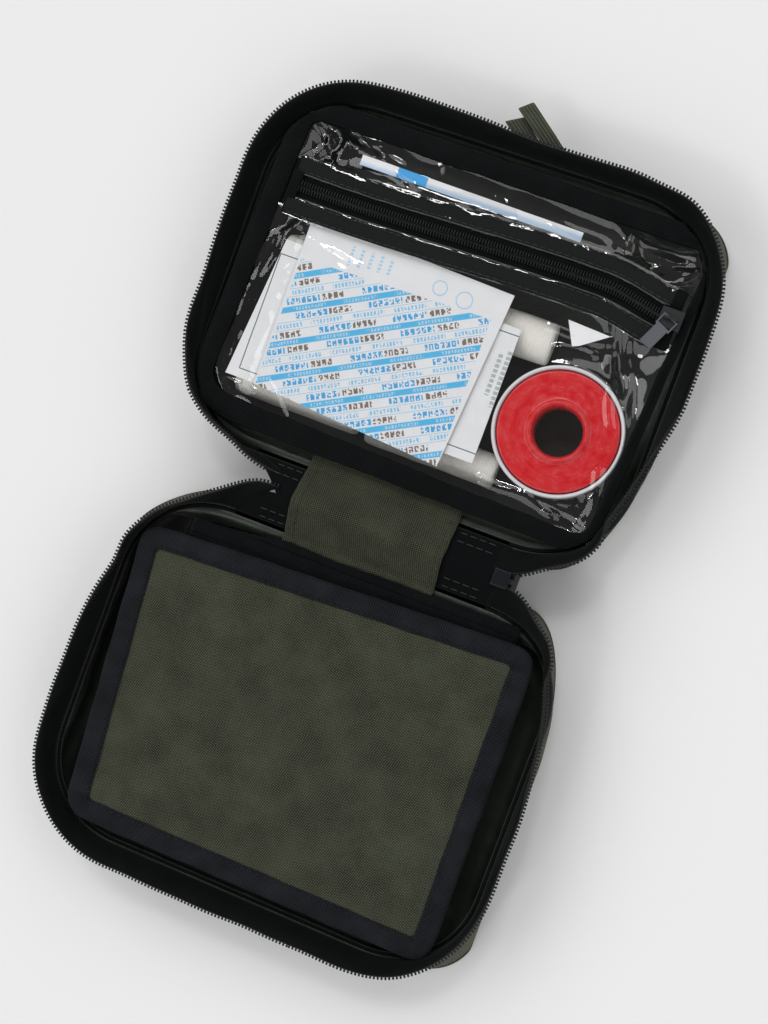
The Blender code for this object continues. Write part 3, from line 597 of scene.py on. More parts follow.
def kept_in(points, limit):
    """Flat points outside a closed outline moved back onto it."""
    sides = outward(limit, True)
    moved = np.array(points, float)
    for k, spot in enumerate(moved):
        near = int(np.argmin(((limit - spot) ** 2).sum(1)))
        over = float(np.dot(spot - limit[near], sides[near]))
        if over > 0.0:
            moved[k] = spot - sides[near] * over
    return moved


def lifted(line, z, side):
    """Flat line to height z, mirrored over the fold for the base (side -1)."""
    points = np.column_stack([line[:, 0], line[:, 1] * side, np.broadcast_to(z, len(line))])
    return points if side > 0 else points[::-1]


def spaced(points, pitch):
    """Spots at an even pitch along a polyline, with the unit direction at each."""
    points = np.asarray(points, float)
    run = distance_run(points)
    at = np.arange(pitch / 2, run[-1], pitch)
    spots, ahead, behind = (np.stack([np.interp(at + shift, run, points[:, k]) for k in range(3)], 1)
                            for shift in (0.0, pitch / 2, -pitch / 2))
    along = ahead - behind
    return spots, along / (np.linalg.norm(along, axis=1)[:, None] + 1e-12)


def tube(path, radius, sides=8, shares=None):
    """Round tube along a path, its radius scaled by shares: (verts, faces, uvs)."""
    path = np.asarray(path, float)
    along = np.gradient(path, axis=0)
    along /= np.linalg.norm(along, axis=1)[:, None] + 1e-12
    across = np.cross(along, (0.0, 0.0, 1.0))
    across /= np.linalg.norm(across, axis=1)[:, None] + 1e-12
    lift = np.cross(across, along)
    size = radius * np.ones(len(path)) * (1.0 if shares is None else np.asarray(shares))
    turn = np.linspace(0, 2 * math.pi, sides, endpoint=False)[:, None]
    rows = [path[k] + size[k] * (np.cos(turn) * across[k] + np.sin(turn) * lift[k])
            for k in range(len(path))]
    return capped(surface(rows, closed=True), sides)


def stitches(lines, length=0.003, gap=0.001, radius=0.00022, rise=0.0001):
    """Rows of thread stitches along lines: each one a small rounded bar that dips at its ends."""
    parts = []
    for line in lines:
        for spot, ahead in zip(*spaced(line, length + gap)):
            path = [spot + ahead * (length / 2) * share + (0, 0, z) for share, z in
                    ((-1.0, -radius), (-0.7, rise), (0.7, rise), (1.0, -radius))]
            parts.append(tube(path, radius, 5, (0.6, 1.0, 1.0, 0.6)))
    return joined(parts)


# ---------------------------------------------------------------- shell halves

def spine_height(y):
    """Ridge of the cloth spine between the two halves."""
    return 0.0309 - 0.755 * (math.hypot(y, 0.0016) - 0.0016)


def sag_out(line, side):
    """How far the soft rim has strayed from its regular outline."""
    x, y = line[:, 0], line[:, 1]
    left, right = (x < -0.03).astype(float), (x > 0.03).astype(float)
    if side > 0:
        dx = -0.005 * left * ease(y, 0.014, 0.03) * (1 - ease(y, 0.044, 0.08))
        dx -= 0.0036 * right * ease(y, 0.024, 0.037) * (1 - ease(y, 0.052, 0.09))
        dx -= 0.006 * right * (1 - ease(y, 0.008, 0.02))
        dy = 0.0052 * ease(-x, 0.028, 0.04) * (1 - ease(-x, 0.062, 0.08)) * (1 - ease(y, 0.03, 0.05))
        dy -= 0.002 * ease(x, -0.03, 0.02) * (1 - ease(x, 0.058, 0.078)) * ease(y, 0.12, 0.15)
    else:
        dx = -0.0032 * right * (0.9 - 0.9 * ease(y, 0.01, 0.018) + ease(y, 0.022, 0.034))
        dx -= 0.0036 * left * ease(y, 0.012, 0.026) * (1 - ease(y, 0.036, 0.052))
        dy = -0.005 * ease(-x, 0.028, 0.04) * (1 - ease(-x, 0.046, 0.066)) * (1 - ease(y, 0.03, 0.05))
    return np.column_stack([dx, dy])


def tape_row(part, side, extra=0.0):
    """One line along the zip tape, from the seam (0) to the rim (1)."""
    seam, rim = top_line(0.0004, False), rim_line(0.0004)
    line = seam + (rim - seam) * part ** 1.5 + sag_out(rim, side) * part
    run = distance_run(line)
    from_end = np.minimum(run, run[-1] - run)
    fade = np.clip(from_end / 0.03, 0.0, 1.0)
    ripple = lumps([(at, side * 3.0) for at in run], 0.022, 4.0) * 0.0007 * part * (2 - part)
    line = line + outward(line, False) * (ripple * fade)[:, None]
    z = TOP_Z - 0.0006 + (RIM_TOP_Z - TOP_Z) * (1 - (1 - part) ** 1.7)
    sag = lumps([(at, side * 5.0) for at in run], 0.03, 9.0) * 0.0005 * fade * (1 - part)
    end = 1 - ease(from_end, 0.0, 0.026)
    under = np.array([spine_height(max(0.0, y)) for y in line[:, 1]]) - 0.0005
    return lifted(line, (z + sag) * (1 - end) + under * end + extra, side)


def teeth(side):
    """Nylon coil along the rim: one small bar with a swollen head for each turn."""
    rim = tape_row(1.0, side)
    parts = []
    for spot, ahead in zip(*spaced(rim, TOOTH_PITCH)):
        out = np.array([ahead[1], -ahead[0], 0.0])
        path = [spot + (0, 0, -0.0003) + out * reach for reach in (-0.0012, 0.0002, 0.0008, 0.0012, 0.0016)]
        parts.append(tube(path, 0.0004, 6, (0.85, 0.9, 1.0, 1.3, 0.6)))
    parts.append(tube(rim - (0, 0, 0.0002), 0.00055, 6))
    return joined(parts)


def wall(prefix, side, body):
    """Olive side wall, bulging a little between its seams."""
    rows = []
    for part in np.linspace(0.0, 1.0, 11):
        line = wall_line(part, 0.0004, True, side)
        push = (0.0009 * lumps(line * (1, 0.7) + (0, part * 0.02), 0.03, side * 2.0)
                + 0.0005 * lumps(line, 0.011, side * 7.0 + part * 1.4))
        push = push * math.sin(math.pi * min(1.0, part * 1.05))
        rows.append(lifted(line + outward(line, True) * push[:, None], wall_height(part), side))
    # The wall cloth is the lighter copy of the olive oxford, with painted light in its colour
    piece(prefix + "_wall_cloth", surface(rows, closed=True), OLIVE_WALL_LIT, body, [prefix + "_wall"],
          thick=0.001)


def panel(prefix, side, body, centre):
    """Outer panel: rolled edge, then rings down to the middle."""
    rows = []
    for inset, z in ((0.0006, 0.003), (0.0, 0.0022), (0.0, 0.0012), (0.0006, 0.0003), (0.002, 0.0)):
        rows.append(lifted(foot_line(inset, True, side), z, side))
    for share in (0.97, 0.9, 0.8, 0.65, 0.5, 0.35, 0.2, 0.08):
        line = centre + (foot_line(0.002, True, side) - centre) * share
        z = 0.0005 * np.maximum(0.0, lumps(line, 0.035, side)) * min(1.0, (1 - share) * 8)
        rows.append(lifted(line, z, side))
    shape = capped(surface(rows[::-1], closed=True, plan=True), len(rows[0]), "first")
    piece(prefix + "_panel_cloth", shape, OLIVE, body, [prefix + "_panel"], thick=0.0008)


def lining(prefix, side, body, centre):
    """Slack lining down the wall and over the floor of a half."""
    rows = []
    for part in np.linspace(1.0, 0.04, 12):
        line = wall_line(part, 0.0021, True, side)
        slack = (0.0011 * lumps(line, 0.02, side * 4.0 + part)
                 + 0.0006 * lumps(line, 0.008, side * 6.0 + part * 2))
        near = np.clip((0.024 - line[:, 1]) / 0.009, 0.0, 1.0)
        bulge = 0.0075 * near * math.sin(math.pi * min(1.0, (1 - part) * 1.6)) ** 0.8
        sink = 0.0008 + slack * (1 - part ** 4) + bulge
        rows.append(lifted(line - outward(line, True) * sink[:, None],
                           FOOT_Z + 0.0008 + (TOP_Z - FOOT_Z - 0.001) * part, side))
    inner = wall_line(0.04, 0.0045, True, side)
    for share in (0.95, 0.85, 0.7, 0.5, 0.3, 0.1):
        line = centre + (inner - centre) * share
        rows.append(lifted(line, 0.0021 + 0.0003 * lumps(line, 0.02, 3.0), side))
    shape = capped(surface(rows, closed=True), len(rows[0]), "last")
    piece(prefix + "_lining_cloth", shape, LINING, body, [prefix + "_lining"], thick=0.0003, lean=1.0)


def half(prefix, side, body):
    """Cloth shell of the base (side -1) or of the lid (side 1)."""
    centre = np.array([0.0, (FOOT_NEAR + FOOT_FAR) / 2])
    wall(prefix, side, body)
    panel(prefix, side, body, centre)
    lining(prefix, side, body, centre)
    rows = [lifted(wall_line(part, inset, False, side), wall_height(part), side) for part, inset in
            ((0.9, 0.0024), (0.92, 0.003), (0.96, 0.0032), (0.99, 0.0028), (1.02, 0.0016))]
    piece(prefix + "_seam_tape", surface(rows), BLACK_EDGE, body, [prefix + "_seam_binding"],
          thick=0.0005, lean=1.0)
    rows = [tape_row(part, side) for part in np.linspace(0.0, 1.0, 9)]
    piece(prefix + "_zip_tape_cloth", surface(rows), ZIP_TAPE, body, [prefix + "_zip_tape"],
          thick=0.0007)
    piece(prefix + "_zip_coil", teeth(side), NYLON, body, [prefix + "_zip_teeth"])
    lines = [tape_row(0.42, side, 0.0002), tape_row(0.12, side, 0.0003)]
    piece(prefix + "_tape_stitches", stitches(lines), THREAD, body)


half("base", -1, "base")
half("lid", 1, "lid")


# ---------------------------------------------------------------- spine and hinge patch

SPINE_REACH = 0.0128


def patch_height(x, y):
    """The patch arches over the spine and lies down on both sides."""
    bell = math.exp(-(abs(y) / 0.0095) ** 2.2)
    wave = 0.0004 * lump(x, y, 0.013, 2.2) * (1 - bell)
    over_spine = spine_height(abs(y)) + 0.0011 if abs(y) < 0.013 else 0.0
    return max(0.021 + 0.0103 * bell + wave, over_spine)


def bends(obj):
    """Bakes a piece's placement into its mesh."""
    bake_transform(obj)
    return obj


def spine():
    """Spine strip, olive patch over it, their stitches, and the grey tab at the zip's end."""
    rows = []
    for y in np.linspace(-SPINE_REACH, SPINE_REACH, 27):
        share = abs(y) / SPINE_REACH
        left = -0.0395 - 0.016 * share ** (1.2 if y > 0 else 0.35)
        right = 0.0605 - 0.0035 * share ** 1.2
        rows.append([(x, y, spine_height(y) + 0.00025 * lump(x, y, 0.01, 6.0))
                     for x in np.linspace(left, right, 70)])
    strip = piece("spine_cloth", surface(rows), SPINE_CLOTH, None, ["spine_strip"], thick=0.0007)
    bends(strip)
    lines = []
    for y in (-0.0112, -0.0078, 0.0078, 0.0112):
        lines.append([(x, y, spine_height(y) + 0.0002) for x in (0.035, 0.044, 0.0525)])
        lines.append([(x, y, spine_height(y) + 0.0002) for x in (-0.045, -0.039, -0.0335)])
    bends(piece("spine_stitches", stitches(lines), THREAD, None))

    low, high = -0.0228, 0.0212
    rows = []
    for y in np.linspace(low, high, 45):
        left, right = -0.0325 + 0.0004 * lump(0, y, 0.008, 1.0), 0.0332 + 0.0004 * lump(1, y, 0.008)
        line = []
        for x in np.linspace(left, right, 80):
            edge = min(x - left, right - x)
            hem = 0.00035 * min(1.0, max(0.0, (0.004 - edge) / 0.0005))
            line.append((x, y, patch_height(x, y) + hem))
        rows.append(line)
    patch = piece("hinge_patch_cloth", surface(rows), OLIVE_PATCH, None,
                  ["hinge_patch", "hinge_patch_hem"], thick=0.0005)
    bends(patch)
    lines = []
    for x in (-0.0314, -0.0292, 0.03, 0.032):
        lines.append([(x, y, patch_height(x, y) + 0.0004) for y in np.linspace(-0.019, 0.019, 30)])
    bends(piece("patch_stitches", stitches(lines, 0.0026, 0.0008, 0.0002), THREAD_OLIVE, None))

    tab = []
    for y in np.linspace(-0.0034, 0.0034, 9):
        tab.append([(x, y, spine_height(y) + 0.0007) for x in np.linspace(0.054, 0.0605, 8)])
    bends(piece("zip_end_tab_cloth", surface(tab), TAB_GREY, None, ["zip_end_tab"], thick=0.0004))


# ---------------------------------------------------------------- cover flap

COVER_QUAD = ((-0.0795, -0.155), (0.0832, -0.155), (0.0815, -0.0222), (-0.0885, -0.03))
COVER_BAND = 0.0088
COVER_Z = 0.026


def inset_quad(quad, inset):
    """The four corners (near left, near right, far right, far left) moved in by inset."""
    (ax, ay), (bx, by), (cx, cy), (dx, dy) = quad
    return ((ax + inset, ay + inset), (bx - inset, by + inset), (cx - inset, cy - inset),
            (dx + inset, dy - inset))


def quad_point(quad, s, t):
    """Point of a quad at shares s along it and t across it."""
    a, b, c, d = (np.array(corner) for corner in quad)
    return (a * (1 - s) + b * s) * (1 - t) + (d * (1 - s) + c * s) * t


def turned_quad(quad, turns, steps=8, side_steps=26):
    """Closed anticlockwise outline of a quad, each corner with its own rounding."""
    line = []
    corners = [np.array(corner) for corner in quad]
    for k in range(4):
        here, before, after = corners[k], corners[k - 1], corners[(k + 1) % 4]
        back = (before - here) / np.linalg.norm(before - here)
        ahead = (after - here) / np.linalg.norm(after - here)
        first, last = here + back * turns[k], here + ahead * turns[k]
        for step in range(steps + 1):
            t = step / steps
            line.append(first * (1 - t) ** 2 + here * 2 * t * (1 - t) + last * t ** 2)
        away = (here - after) / np.linalg.norm(here - after)
        following = after + away * turns[(k + 1) % 4]
        line += list(between(last, following, side_steps))
    return np.array(line)


def cover_height(x, y):
    """Soft creases of the flap: broad dimples and a few slanting folds."""
    z = 0.0262 + 0.0009 * lump(x, y, 0.045, 1.3) + 0.0003 * lump(x, y, 0.016, 4.3)
    for cx, cy, turn, long, wide, deep in (
            (-0.047, -0.083, 0.75, 0.03, 0.005, 0.0009), (-0.055, -0.14, 1.9, 0.012, 0.004, -0.001),
            (-0.02, -0.143, 1.7, 0.01, 0.004, -0.0009), (0.012, -0.145, 1.4, 0.009, 0.0045, -0.0008),
            (0.045, -0.1, 0.35, 0.035, 0.007, -0.0006), (-0.03, -0.11, 0.2, 0.03, 0.006, 0.0007),
            (0.055, -0.14, 2.3, 0.012, 0.0045, 0.0007), (0.0, -0.06, -0.1, 0.045, 0.008, 0.0005)):
        along = (x - cx) * math.cos(turn) + (y - cy) * math.sin(turn)
        off = (y - cy) * math.cos(turn) - (x - cx) * math.sin(turn)
        z += deep * math.exp(-(along / long) ** 2 - (off / wide) ** 2)
    return z


def cover():
    """Flap over the base: cloth, binding, closure strips and the tape that hinges it."""
    rows = []
    inner = inset_quad(COVER_QUAD, COVER_BAND - 0.0035)
    for t in np.linspace(0, 1, 90):
        line = []
        for s in np.linspace(0, 1, 110):
            x, y = quad_point(inner, s, t)
            edge = min(s * 0.152, (1 - s) * 0.152, t * 0.12, (1 - t) * 0.12)
            full = min(1.0, edge / 0.01)
            line.append((x, y, COVER_Z + (cover_height(x, y) - COVER_Z) * full))
        rows.append(line)
    cloth = piece("cover_cloth", surface(rows, plan=True), OLIVE, "cover", ["cover_panel"],
                  thick=0.0007)

    profile = ((COVER_BAND, 0.0264), (COVER_BAND - 0.0004, 0.0268), (0.006, 0.0271),
               (0.0044, 0.027), (0.0024, 0.02725), (0.0007, 0.02705), (0.0, 0.0261),
               (0.0007, 0.0252), (0.0044, 0.025), (COVER_BAND, 0.0252))
    rows = []
    for inset, z in profile:
        line = turned_quad(inset_quad(COVER_QUAD, inset), [max(0.0022, 0.0105 - inset)] * 4)
        rows.append(lifted(strayed(line, 0.0004, 0.012, 3.0), z + 0.00035 * lumps(line, 0.016, 8.0), 1))
    piece("cover_binding_tape", surface(rows, closed=True), BLACK_TAPE, "cover", ["cover_binding"])
    stitch = turned_quad(inset_quad(COVER_QUAD, COVER_BAND - 0.0012), [0.003] * 4)
    line = [(x, y, 0.027 + 0.00035 * lump(x, y, 0.016, 8.0)) for x, y in stitch]
    piece("cover_binding_stitches", stitches([line + line[:1]], 0.0024, 0.0009, 0.00018), NYLON,
          "cover")

    def strip(name, look, body, node, xs, near, far, z, thick, wave):
        rows = []
        for t in np.linspace(0, 1, 7):
            rows.append([(x, near + (y - near) * t + wave * lump(x, t, 0.014, z * 900),
                          z + wave * 0.4 * lump(x, t * 0.02, 0.011, 2.0)) for x, y in zip(xs, far)])
        piece(name, surface(rows), look, body, node, thick=thick)

    xs = np.linspace(-0.07, 0.07, 90)
    strip("cover_hook_tape", BLACK_EDGE, "cover", ["cover_hook_strip"], xs, -0.0345, xs * 0 - 0.0275,
          0.0242, 0.0008, 0.0001)
    strip("ledge_loop_tape", BLACK_FUZZ, "base", ["cover_loop_strip"], xs, -0.035, xs * 0 - 0.0212,
          0.0231, 0.0007, 0.0003)
    xs = np.linspace(-0.072, 0.0715, 100)
    top = -0.0175 - 0.0055 * np.clip((-xs - 0.03) / 0.04, 0, 1) + 0.0012 * np.clip(xs / 0.07, 0, 1)
    strip("cover_ledge_tape", BLACK_FUZZ, "base", ["cover_ledge"], xs, -0.0385, top, 0.0222, 0.0006,
          0.0006)
    xs = np.linspace(-0.06, 0.06, 60)
    rows = []
    for y, z in ((-0.1573, 0.0206), (-0.1569, 0.0222), (-0.1563, 0.0236), (-0.1556, 0.0246)):
        rows.append([(x, y, z) for x in xs])
    piece("cover_hinge_tape", surface(rows), BLACK_EDGE, "base", ["cover_hinge_band"], thick=0.0005)


# ---------------------------------------------------------------- packed goods

REEL = (0.0575, 0.062)
GOODS_FLOOR_Z = 0.0028
ROLLS = (("bandage_roll_1", -0.0755, -0.018, 0.094, 0.0098, "lid"),
         ("bandage_roll_2", -0.015, 0.0435, 0.0945, 0.0098, "lid"),
         ("bandage_roll_3", -0.0755, -0.02, 0.042, 0.0098, "lid"),
         ("bandage_roll_4", -0.017, 0.0395, 0.0385, 0.0078, "lid"),
         ("bandage_roll_5", 0.006, 0.073, -0.07, 0.0098, "base"),
         ("bandage_roll_6", 0.006, 0.073, -0.0492, 0.0098, "base"))
SACHET = ((-0.0655, 0.0385), (0.0172, 0.0325), (0.0228, 0.1068), (-0.066, 0.1105))
DRESSING = ((-0.0788, 0.0388), (0.03, 0.0385), (0.03, 0.095), (-0.0735, 0.0985))


def lathe(profile, spot, segments=96):
    """A turned shape from a closed (radius, z) profile."""
    rows = []
    for r, z in list(profile) + [profile[0]]:
        turn = np.linspace(0, 2 * math.pi, segments, endpoint=False)
        rows.append(np.column_stack([spot[0] + r * np.cos(turn), spot[1] + r * np.sin(turn),
                                     np.full(segments, z)]))
    return surface(rows, closed=True)


def pouch(name, quad, low, high, look, body, nodes, seam=0.004, seed=0.0, steps=40, thin=0.0002):
    """A flat packet: two skins that swell between their sealed edges."""
    top, under = [], []
    wide = np.linalg.norm(np.subtract(quad[1], quad[0]))
    tall = np.linalg.norm(np.subtract(quad[3], quad[0]))
    for t in np.linspace(0, 1, steps):
        up, down = [], []
        for s in np.linspace(0, 1, steps + 10):
            x, y = quad_point(quad, s, t)
            edge = min(s * wide, (1 - s) * wide, t * tall, (1 - t) * tall)
            full = ease(edge, seam, seam + 0.012)
            middle = (low + high) / 2
            crease = (0.00022 * lump(x, y, 0.012, seed) + 0.00012 * lump(x, y, 0.005, seed + 2))
            up.append((x, y, middle + thin + crease + (high - middle - thin - 0.0003) * full))
            down.append((x, y, middle + crease * 0.5 - (middle - low) * full * 0.9))
        top.append(up)
        under.append(down[::-1])
    shape = joined([surface(top, plan=True), surface(under, plan=True)])
    piece(name, shape, look, body, nodes)


def crepe_roll(name, left, right, y, size, body):
    """A rolled crepe bandage, its loose end lying along the roll."""
    level = GOODS_FLOOR_Z + size
    ends = [(left + inset, share) for inset, share in
            ((0.0007, 0.15), (0.0003, 0.45), (0.0004, 0.8), (0.0008, 0.94), (0.0022, 0.99))]
    middle = [(x, 1.0) for x in np.linspace(left + 0.005, right - 0.005, 20)]
    rings = []
    turn = np.linspace(0, 2 * math.pi, 60, endpoint=False)
    for x, share in ends + middle + [(left + right - x, share) for x, share in reversed(ends)]:
        wob = np.array([0.00035 * lump(x, math.cos(a) * 0.012, 0.012, math.sin(a) * 2) for a in turn])
        flap = 0.0006 * ease(((turn + 0.9) / (2 * math.pi)) % 1.0, 0.0, 0.08) if share > 0.9 else 0.0
        reach = size * share + (wob - 0.0003) * share - flap
        rings.append(np.column_stack([np.full(60, x), y - reach * np.cos(turn),
                                      level + reach * np.sin(turn)]))
    piece(name + "_crepe", surface(rings, closed=True), CREPE, body, [name])


def block(left, right, near, far):
    """Corners of a square-cut packet."""
    return (left, near), (right, near), (right, far), (left, far)


def goods():
    """Everything packed in the two halves."""
    for name, left, right, y, size, body in ROLLS:
        crepe_roll(name, left, right, y, size, body)
    pouch("gauze_stack_packet", block(-0.07, 0.0178, 0.0562, 0.0808), 0.003, 0.0208, PAPER, "lid",
          ["gauze_stack"], 0.0004, 3.0, thin=0.006)
    pouch("dressing_packet_paper", DRESSING, 0.0231, 0.024, PACKET, "lid", ["dressing_packet"],
          0.002, 5.0)
    pouch("plaster_sachet_paper", SACHET, 0.0242, 0.0252, SACHET_PRINT, "lid", ["plaster_sachet"],
          0.003, 7.0, 60)
    leaf = ((0.051, 0.0955), (0.0535, 0.0965), (0.064, 0.104), (0.046, 0.105))
    pouch("paper_leaflet_sheet", leaf, 0.0236, 0.0239, PAPER, "lid", ["paper_leaflet"], 0.0, 1.0, 12)
    slim = ((-0.056, 0.137), (0.0395, 0.1355), (0.0395, 0.1395), (-0.056, 0.1412))
    pouch("slim_packet_film", slim, 0.021, 0.023, SLIM, "lid", ["slim_packet"], 0.0003, 2.0, 24)
    pouch("blanket_packet_foil", block(-0.074, -0.006, -0.143, -0.05), 0.003, 0.0178, FOIL, "base",
          ["blanket_packet"], 0.003, 6.0, thin=0.0003)
    pouch("sling_packet_cloth", block(0.004, 0.074, -0.143, -0.086), 0.003, 0.0168, PAPER, "base",
          ["sling_packet"], 0.003, 9.0, thin=0.0003)

    guard = ((0.0249, 0.0036), (0.0249, 0.0226), (0.0252, 0.0234), (0.0257, 0.0238), (0.0262, 0.0235),
             (0.0265, 0.0228), (0.0265, 0.0036), (0.0262, 0.0029), (0.0252, 0.0029))
    piece("reel_guard_ring", lathe(guard, REEL), WHITE_PLASTIC, "lid", ["reel_guard"])
    hub = ((0.0244, 0.0222), (0.0243, 0.0229), (0.0235, 0.0231), (0.016, 0.0226), (0.0134, 0.0225),
           (0.0126, 0.0229), (0.0119, 0.0237), (0.0113, 0.0238), (0.0106, 0.0233), (0.01, 0.022),
           (0.0098, 0.02), (0.0098, 0.0036), (0.0107, 0.0036), (0.0107, 0.0215), (0.024, 0.0217))
    piece("reel_hub_disc", lathe(hub, REEL), RED_PLASTIC, "reel", ["reel_hub"])
    wound = ((0.0128, 0.0036), (0.0215, 0.0036), (0.0215, 0.021), (0.0128, 0.021))
    piece("reel_tape_wound", lathe(wound, REEL, 64), CREPE, "reel", ["reel_tape"])


# ---------------------------------------------------------------- clear pocket

# Corners (near left, near right, far right, far left) of the pocket's binding, outside and inside
POCKET_OUT = ((-0.0925, 0.0205), (0.0862, 0.0185), (0.0935, 0.155), (-0.0885, 0.157))
POCKET_OUT_TURNS = (0.026, 0.013, 0.013, 0.018)
POCKET_IN = ((-0.084, 0.031), (0.082, 0.0265), (0.0895, 0.1465), (-0.08, 0.1485))
POCKET_IN_TURNS = (0.01, 0.006, 0.006, 0.006)
ZIP_LEFT = np.array((-0.079, 0.1202))
ZIP_RIGHT = np.array((0.086, 0.1173))
ZIP_STRAIGHT = (ZIP_RIGHT - ZIP_LEFT) / np.linalg.norm(ZIP_RIGHT - ZIP_LEFT)
ZIP_BOW = 0.004
FILM_TUCK = 0.0024
FILM_TO_ZIP = 0.0088
FILM_EDGE_Z = 0.0249
FILM_FLAT_Z = 0.0256
SAG_PASSES = 1100


def zip_y(x):
    """The pocket's zip bows away from the fold and drops to its slider at the right."""
    bow = ease(x, -0.065, 0.052) * (1 - ease(x, 0.055, 0.0835))
    return ZIP_LEFT[1] + (x - ZIP_LEFT[0]) * ZIP_STRAIGHT[1] / ZIP_STRAIGHT[0] + ZIP_BOW * bow


def pocket_line(share):
    """Outline between the outside (0) and the inside (1) of the pocket's binding."""
    out, inner = turned_quad(POCKET_OUT, POCKET_OUT_TURNS), turned_quad(POCKET_IN, POCKET_IN_TURNS)
    return out + (inner - out) * share


def in_quad(quad, x, y, margin):
    """Which points lie inside a quad, or no more than margin outside."""
    inside = np.full(x.shape, True)
    for k in range(4):
        (ax, ay), (bx, by) = quad[k], quad[(k + 1) % 4]
        long = math.hypot(bx - ax, by - ay)
        inside &= ((bx - ax) * (y - ay) - (by - ay) * (x - ax)) / long > -margin
    return inside


def goods_height(x, y):
    """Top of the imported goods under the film."""
    z = np.full(x.shape, 0.015)
    for name, left, right, mid, size, body in ROLLS:
        if body == "lid":
            off = np.clip(np.abs(y - mid) / (size + 0.0005), 0, 1)
            dome = GOODS_FLOOR_Z + size + size * np.sqrt(1 - off ** 2)
            z = np.where((x > left) & (x < right) & (off < 1), np.maximum(z, dome), z)
    z = np.where(in_quad(DRESSING, x, y, 0.001), np.maximum(z, 0.024), z)
    z = np.where(in_quad(SACHET, x, y, 0.001), np.maximum(z, 0.025), z)
    away = np.hypot(x - REEL[0], y - REEL[1])
    z = np.where(away < 0.0272, np.maximum(z, 0.0241), z)
    return z


# Folds of the clear film in millimetres: start x and y, end x and y, half-width, height.
# All are then widened and flattened alike, so that they read as soft vinyl.
FOLD_WIDEN, FOLD_FLATTEN = 1.45, 0.72
FILM_FOLDS = (
    (-63, 147.5, -40, 144, 1.6, 1.6), (-48, 144, -36, 136, 1.4, 1.2), (-63, 147, -66, 129, 1.8, 2.4),
    (-79, 148, -68, 140, 1.4, 1.4), (-72, 144, -79, 126, 1.5, 1.8), (-76, 140, -68, 130, 1.2, 1.2),
    (-66, 111, -80, 96, 1.6, 1.6), (-70, 108, -81, 70, 2, 1.5), (-80, 96, -83, 52, 1.4, 1.2),
    (-74, 100, -40, 97, 1.8, 0.9), (-52, 98.5, -34, 90, 1.4, 0.8), (-38, 72, -44, 45, 1, 0.5),
    (-84, 42, -76, 33, 1.6, 1.6), (-58, 42, -46, 33, 1.2, 0.8), (58, 146.5, 62, 125, 1.8, 2.4),
    (64, 114, 67, 94, 1.8, 2.2), (67, 94, 76, 72, 1.4, 1.6), (70, 108, 81, 76, 1.2, 1.4),
    (62, 133, 89, 145, 2, 1.6), (70, 129, 86, 132, 1.6, 1.3), (68, 140, 88, 142, 1.2, 1),
    (66, 122, 88, 124, 2, 1.4), (40, 99, 62, 101, 1.2, 1.2), (46, 93, 58, 95, 1, 1),
    (36, 34.5, 66, 31.5, 1.4, 1.6), (66, 31.5, 80, 28, 1.4, 1.4), (79, 52, 81, 28, 1.6, 1.8),
    (48, 44, 55, 36, 1.1, 0.6), (52, 56, 58, 38, 1, 0.5), (66, 48, 74, 62, 1.4, 0.5),
    (-20, 146, 30, 133, 3, 1.1), (-30, 138, 10, 140, 2, 0.8), (10, 144, 50, 138, 1.8, 1),
    (0, 36, 30, 33, 1.2, 0.7))


def film_wrinkle(x, y):
    """Height added to the film by its named folds and by small random wrinkles."""
    ends = ease(np.abs(x + 0.002), 0.055, 0.072)
    z = np.zeros(x.shape)
    for fold in FILM_FOLDS:
        ax, ay, bx, by, wide, high = (part / 1000 for part in fold)
        long = math.hypot(bx - ax, by - ay)
        along = ((x - ax) * (bx - ax) + (y - ay) * (by - ay)) / long
        off = ((y - ay) * (bx - ax) - (x - ax) * (by - ay)) / long
        off = off + 0.0008 * np.sin(along * 220 + ax * 900)
        beyond = np.maximum(np.maximum(-along, along - long), 0.0)
        shape = np.exp(-(off / (FOLD_WIDEN * wide)) ** 2 - (beyond / 0.0035) ** 2)
        z += FOLD_FLATTEN * high * shape
    flat = np.column_stack([x.ravel(), y.ravel()])
    crease = np.maximum(0.0, 1 - np.abs(lumps(flat * (1, 0.8), 0.016, 2.6)) * 5.0) ** 2
    small = lumps(flat, 0.026, 7.0) * 0.0009 + crease * 0.00016
    return z, small.reshape(x.shape) * (0.35 + 0.85 * ends)


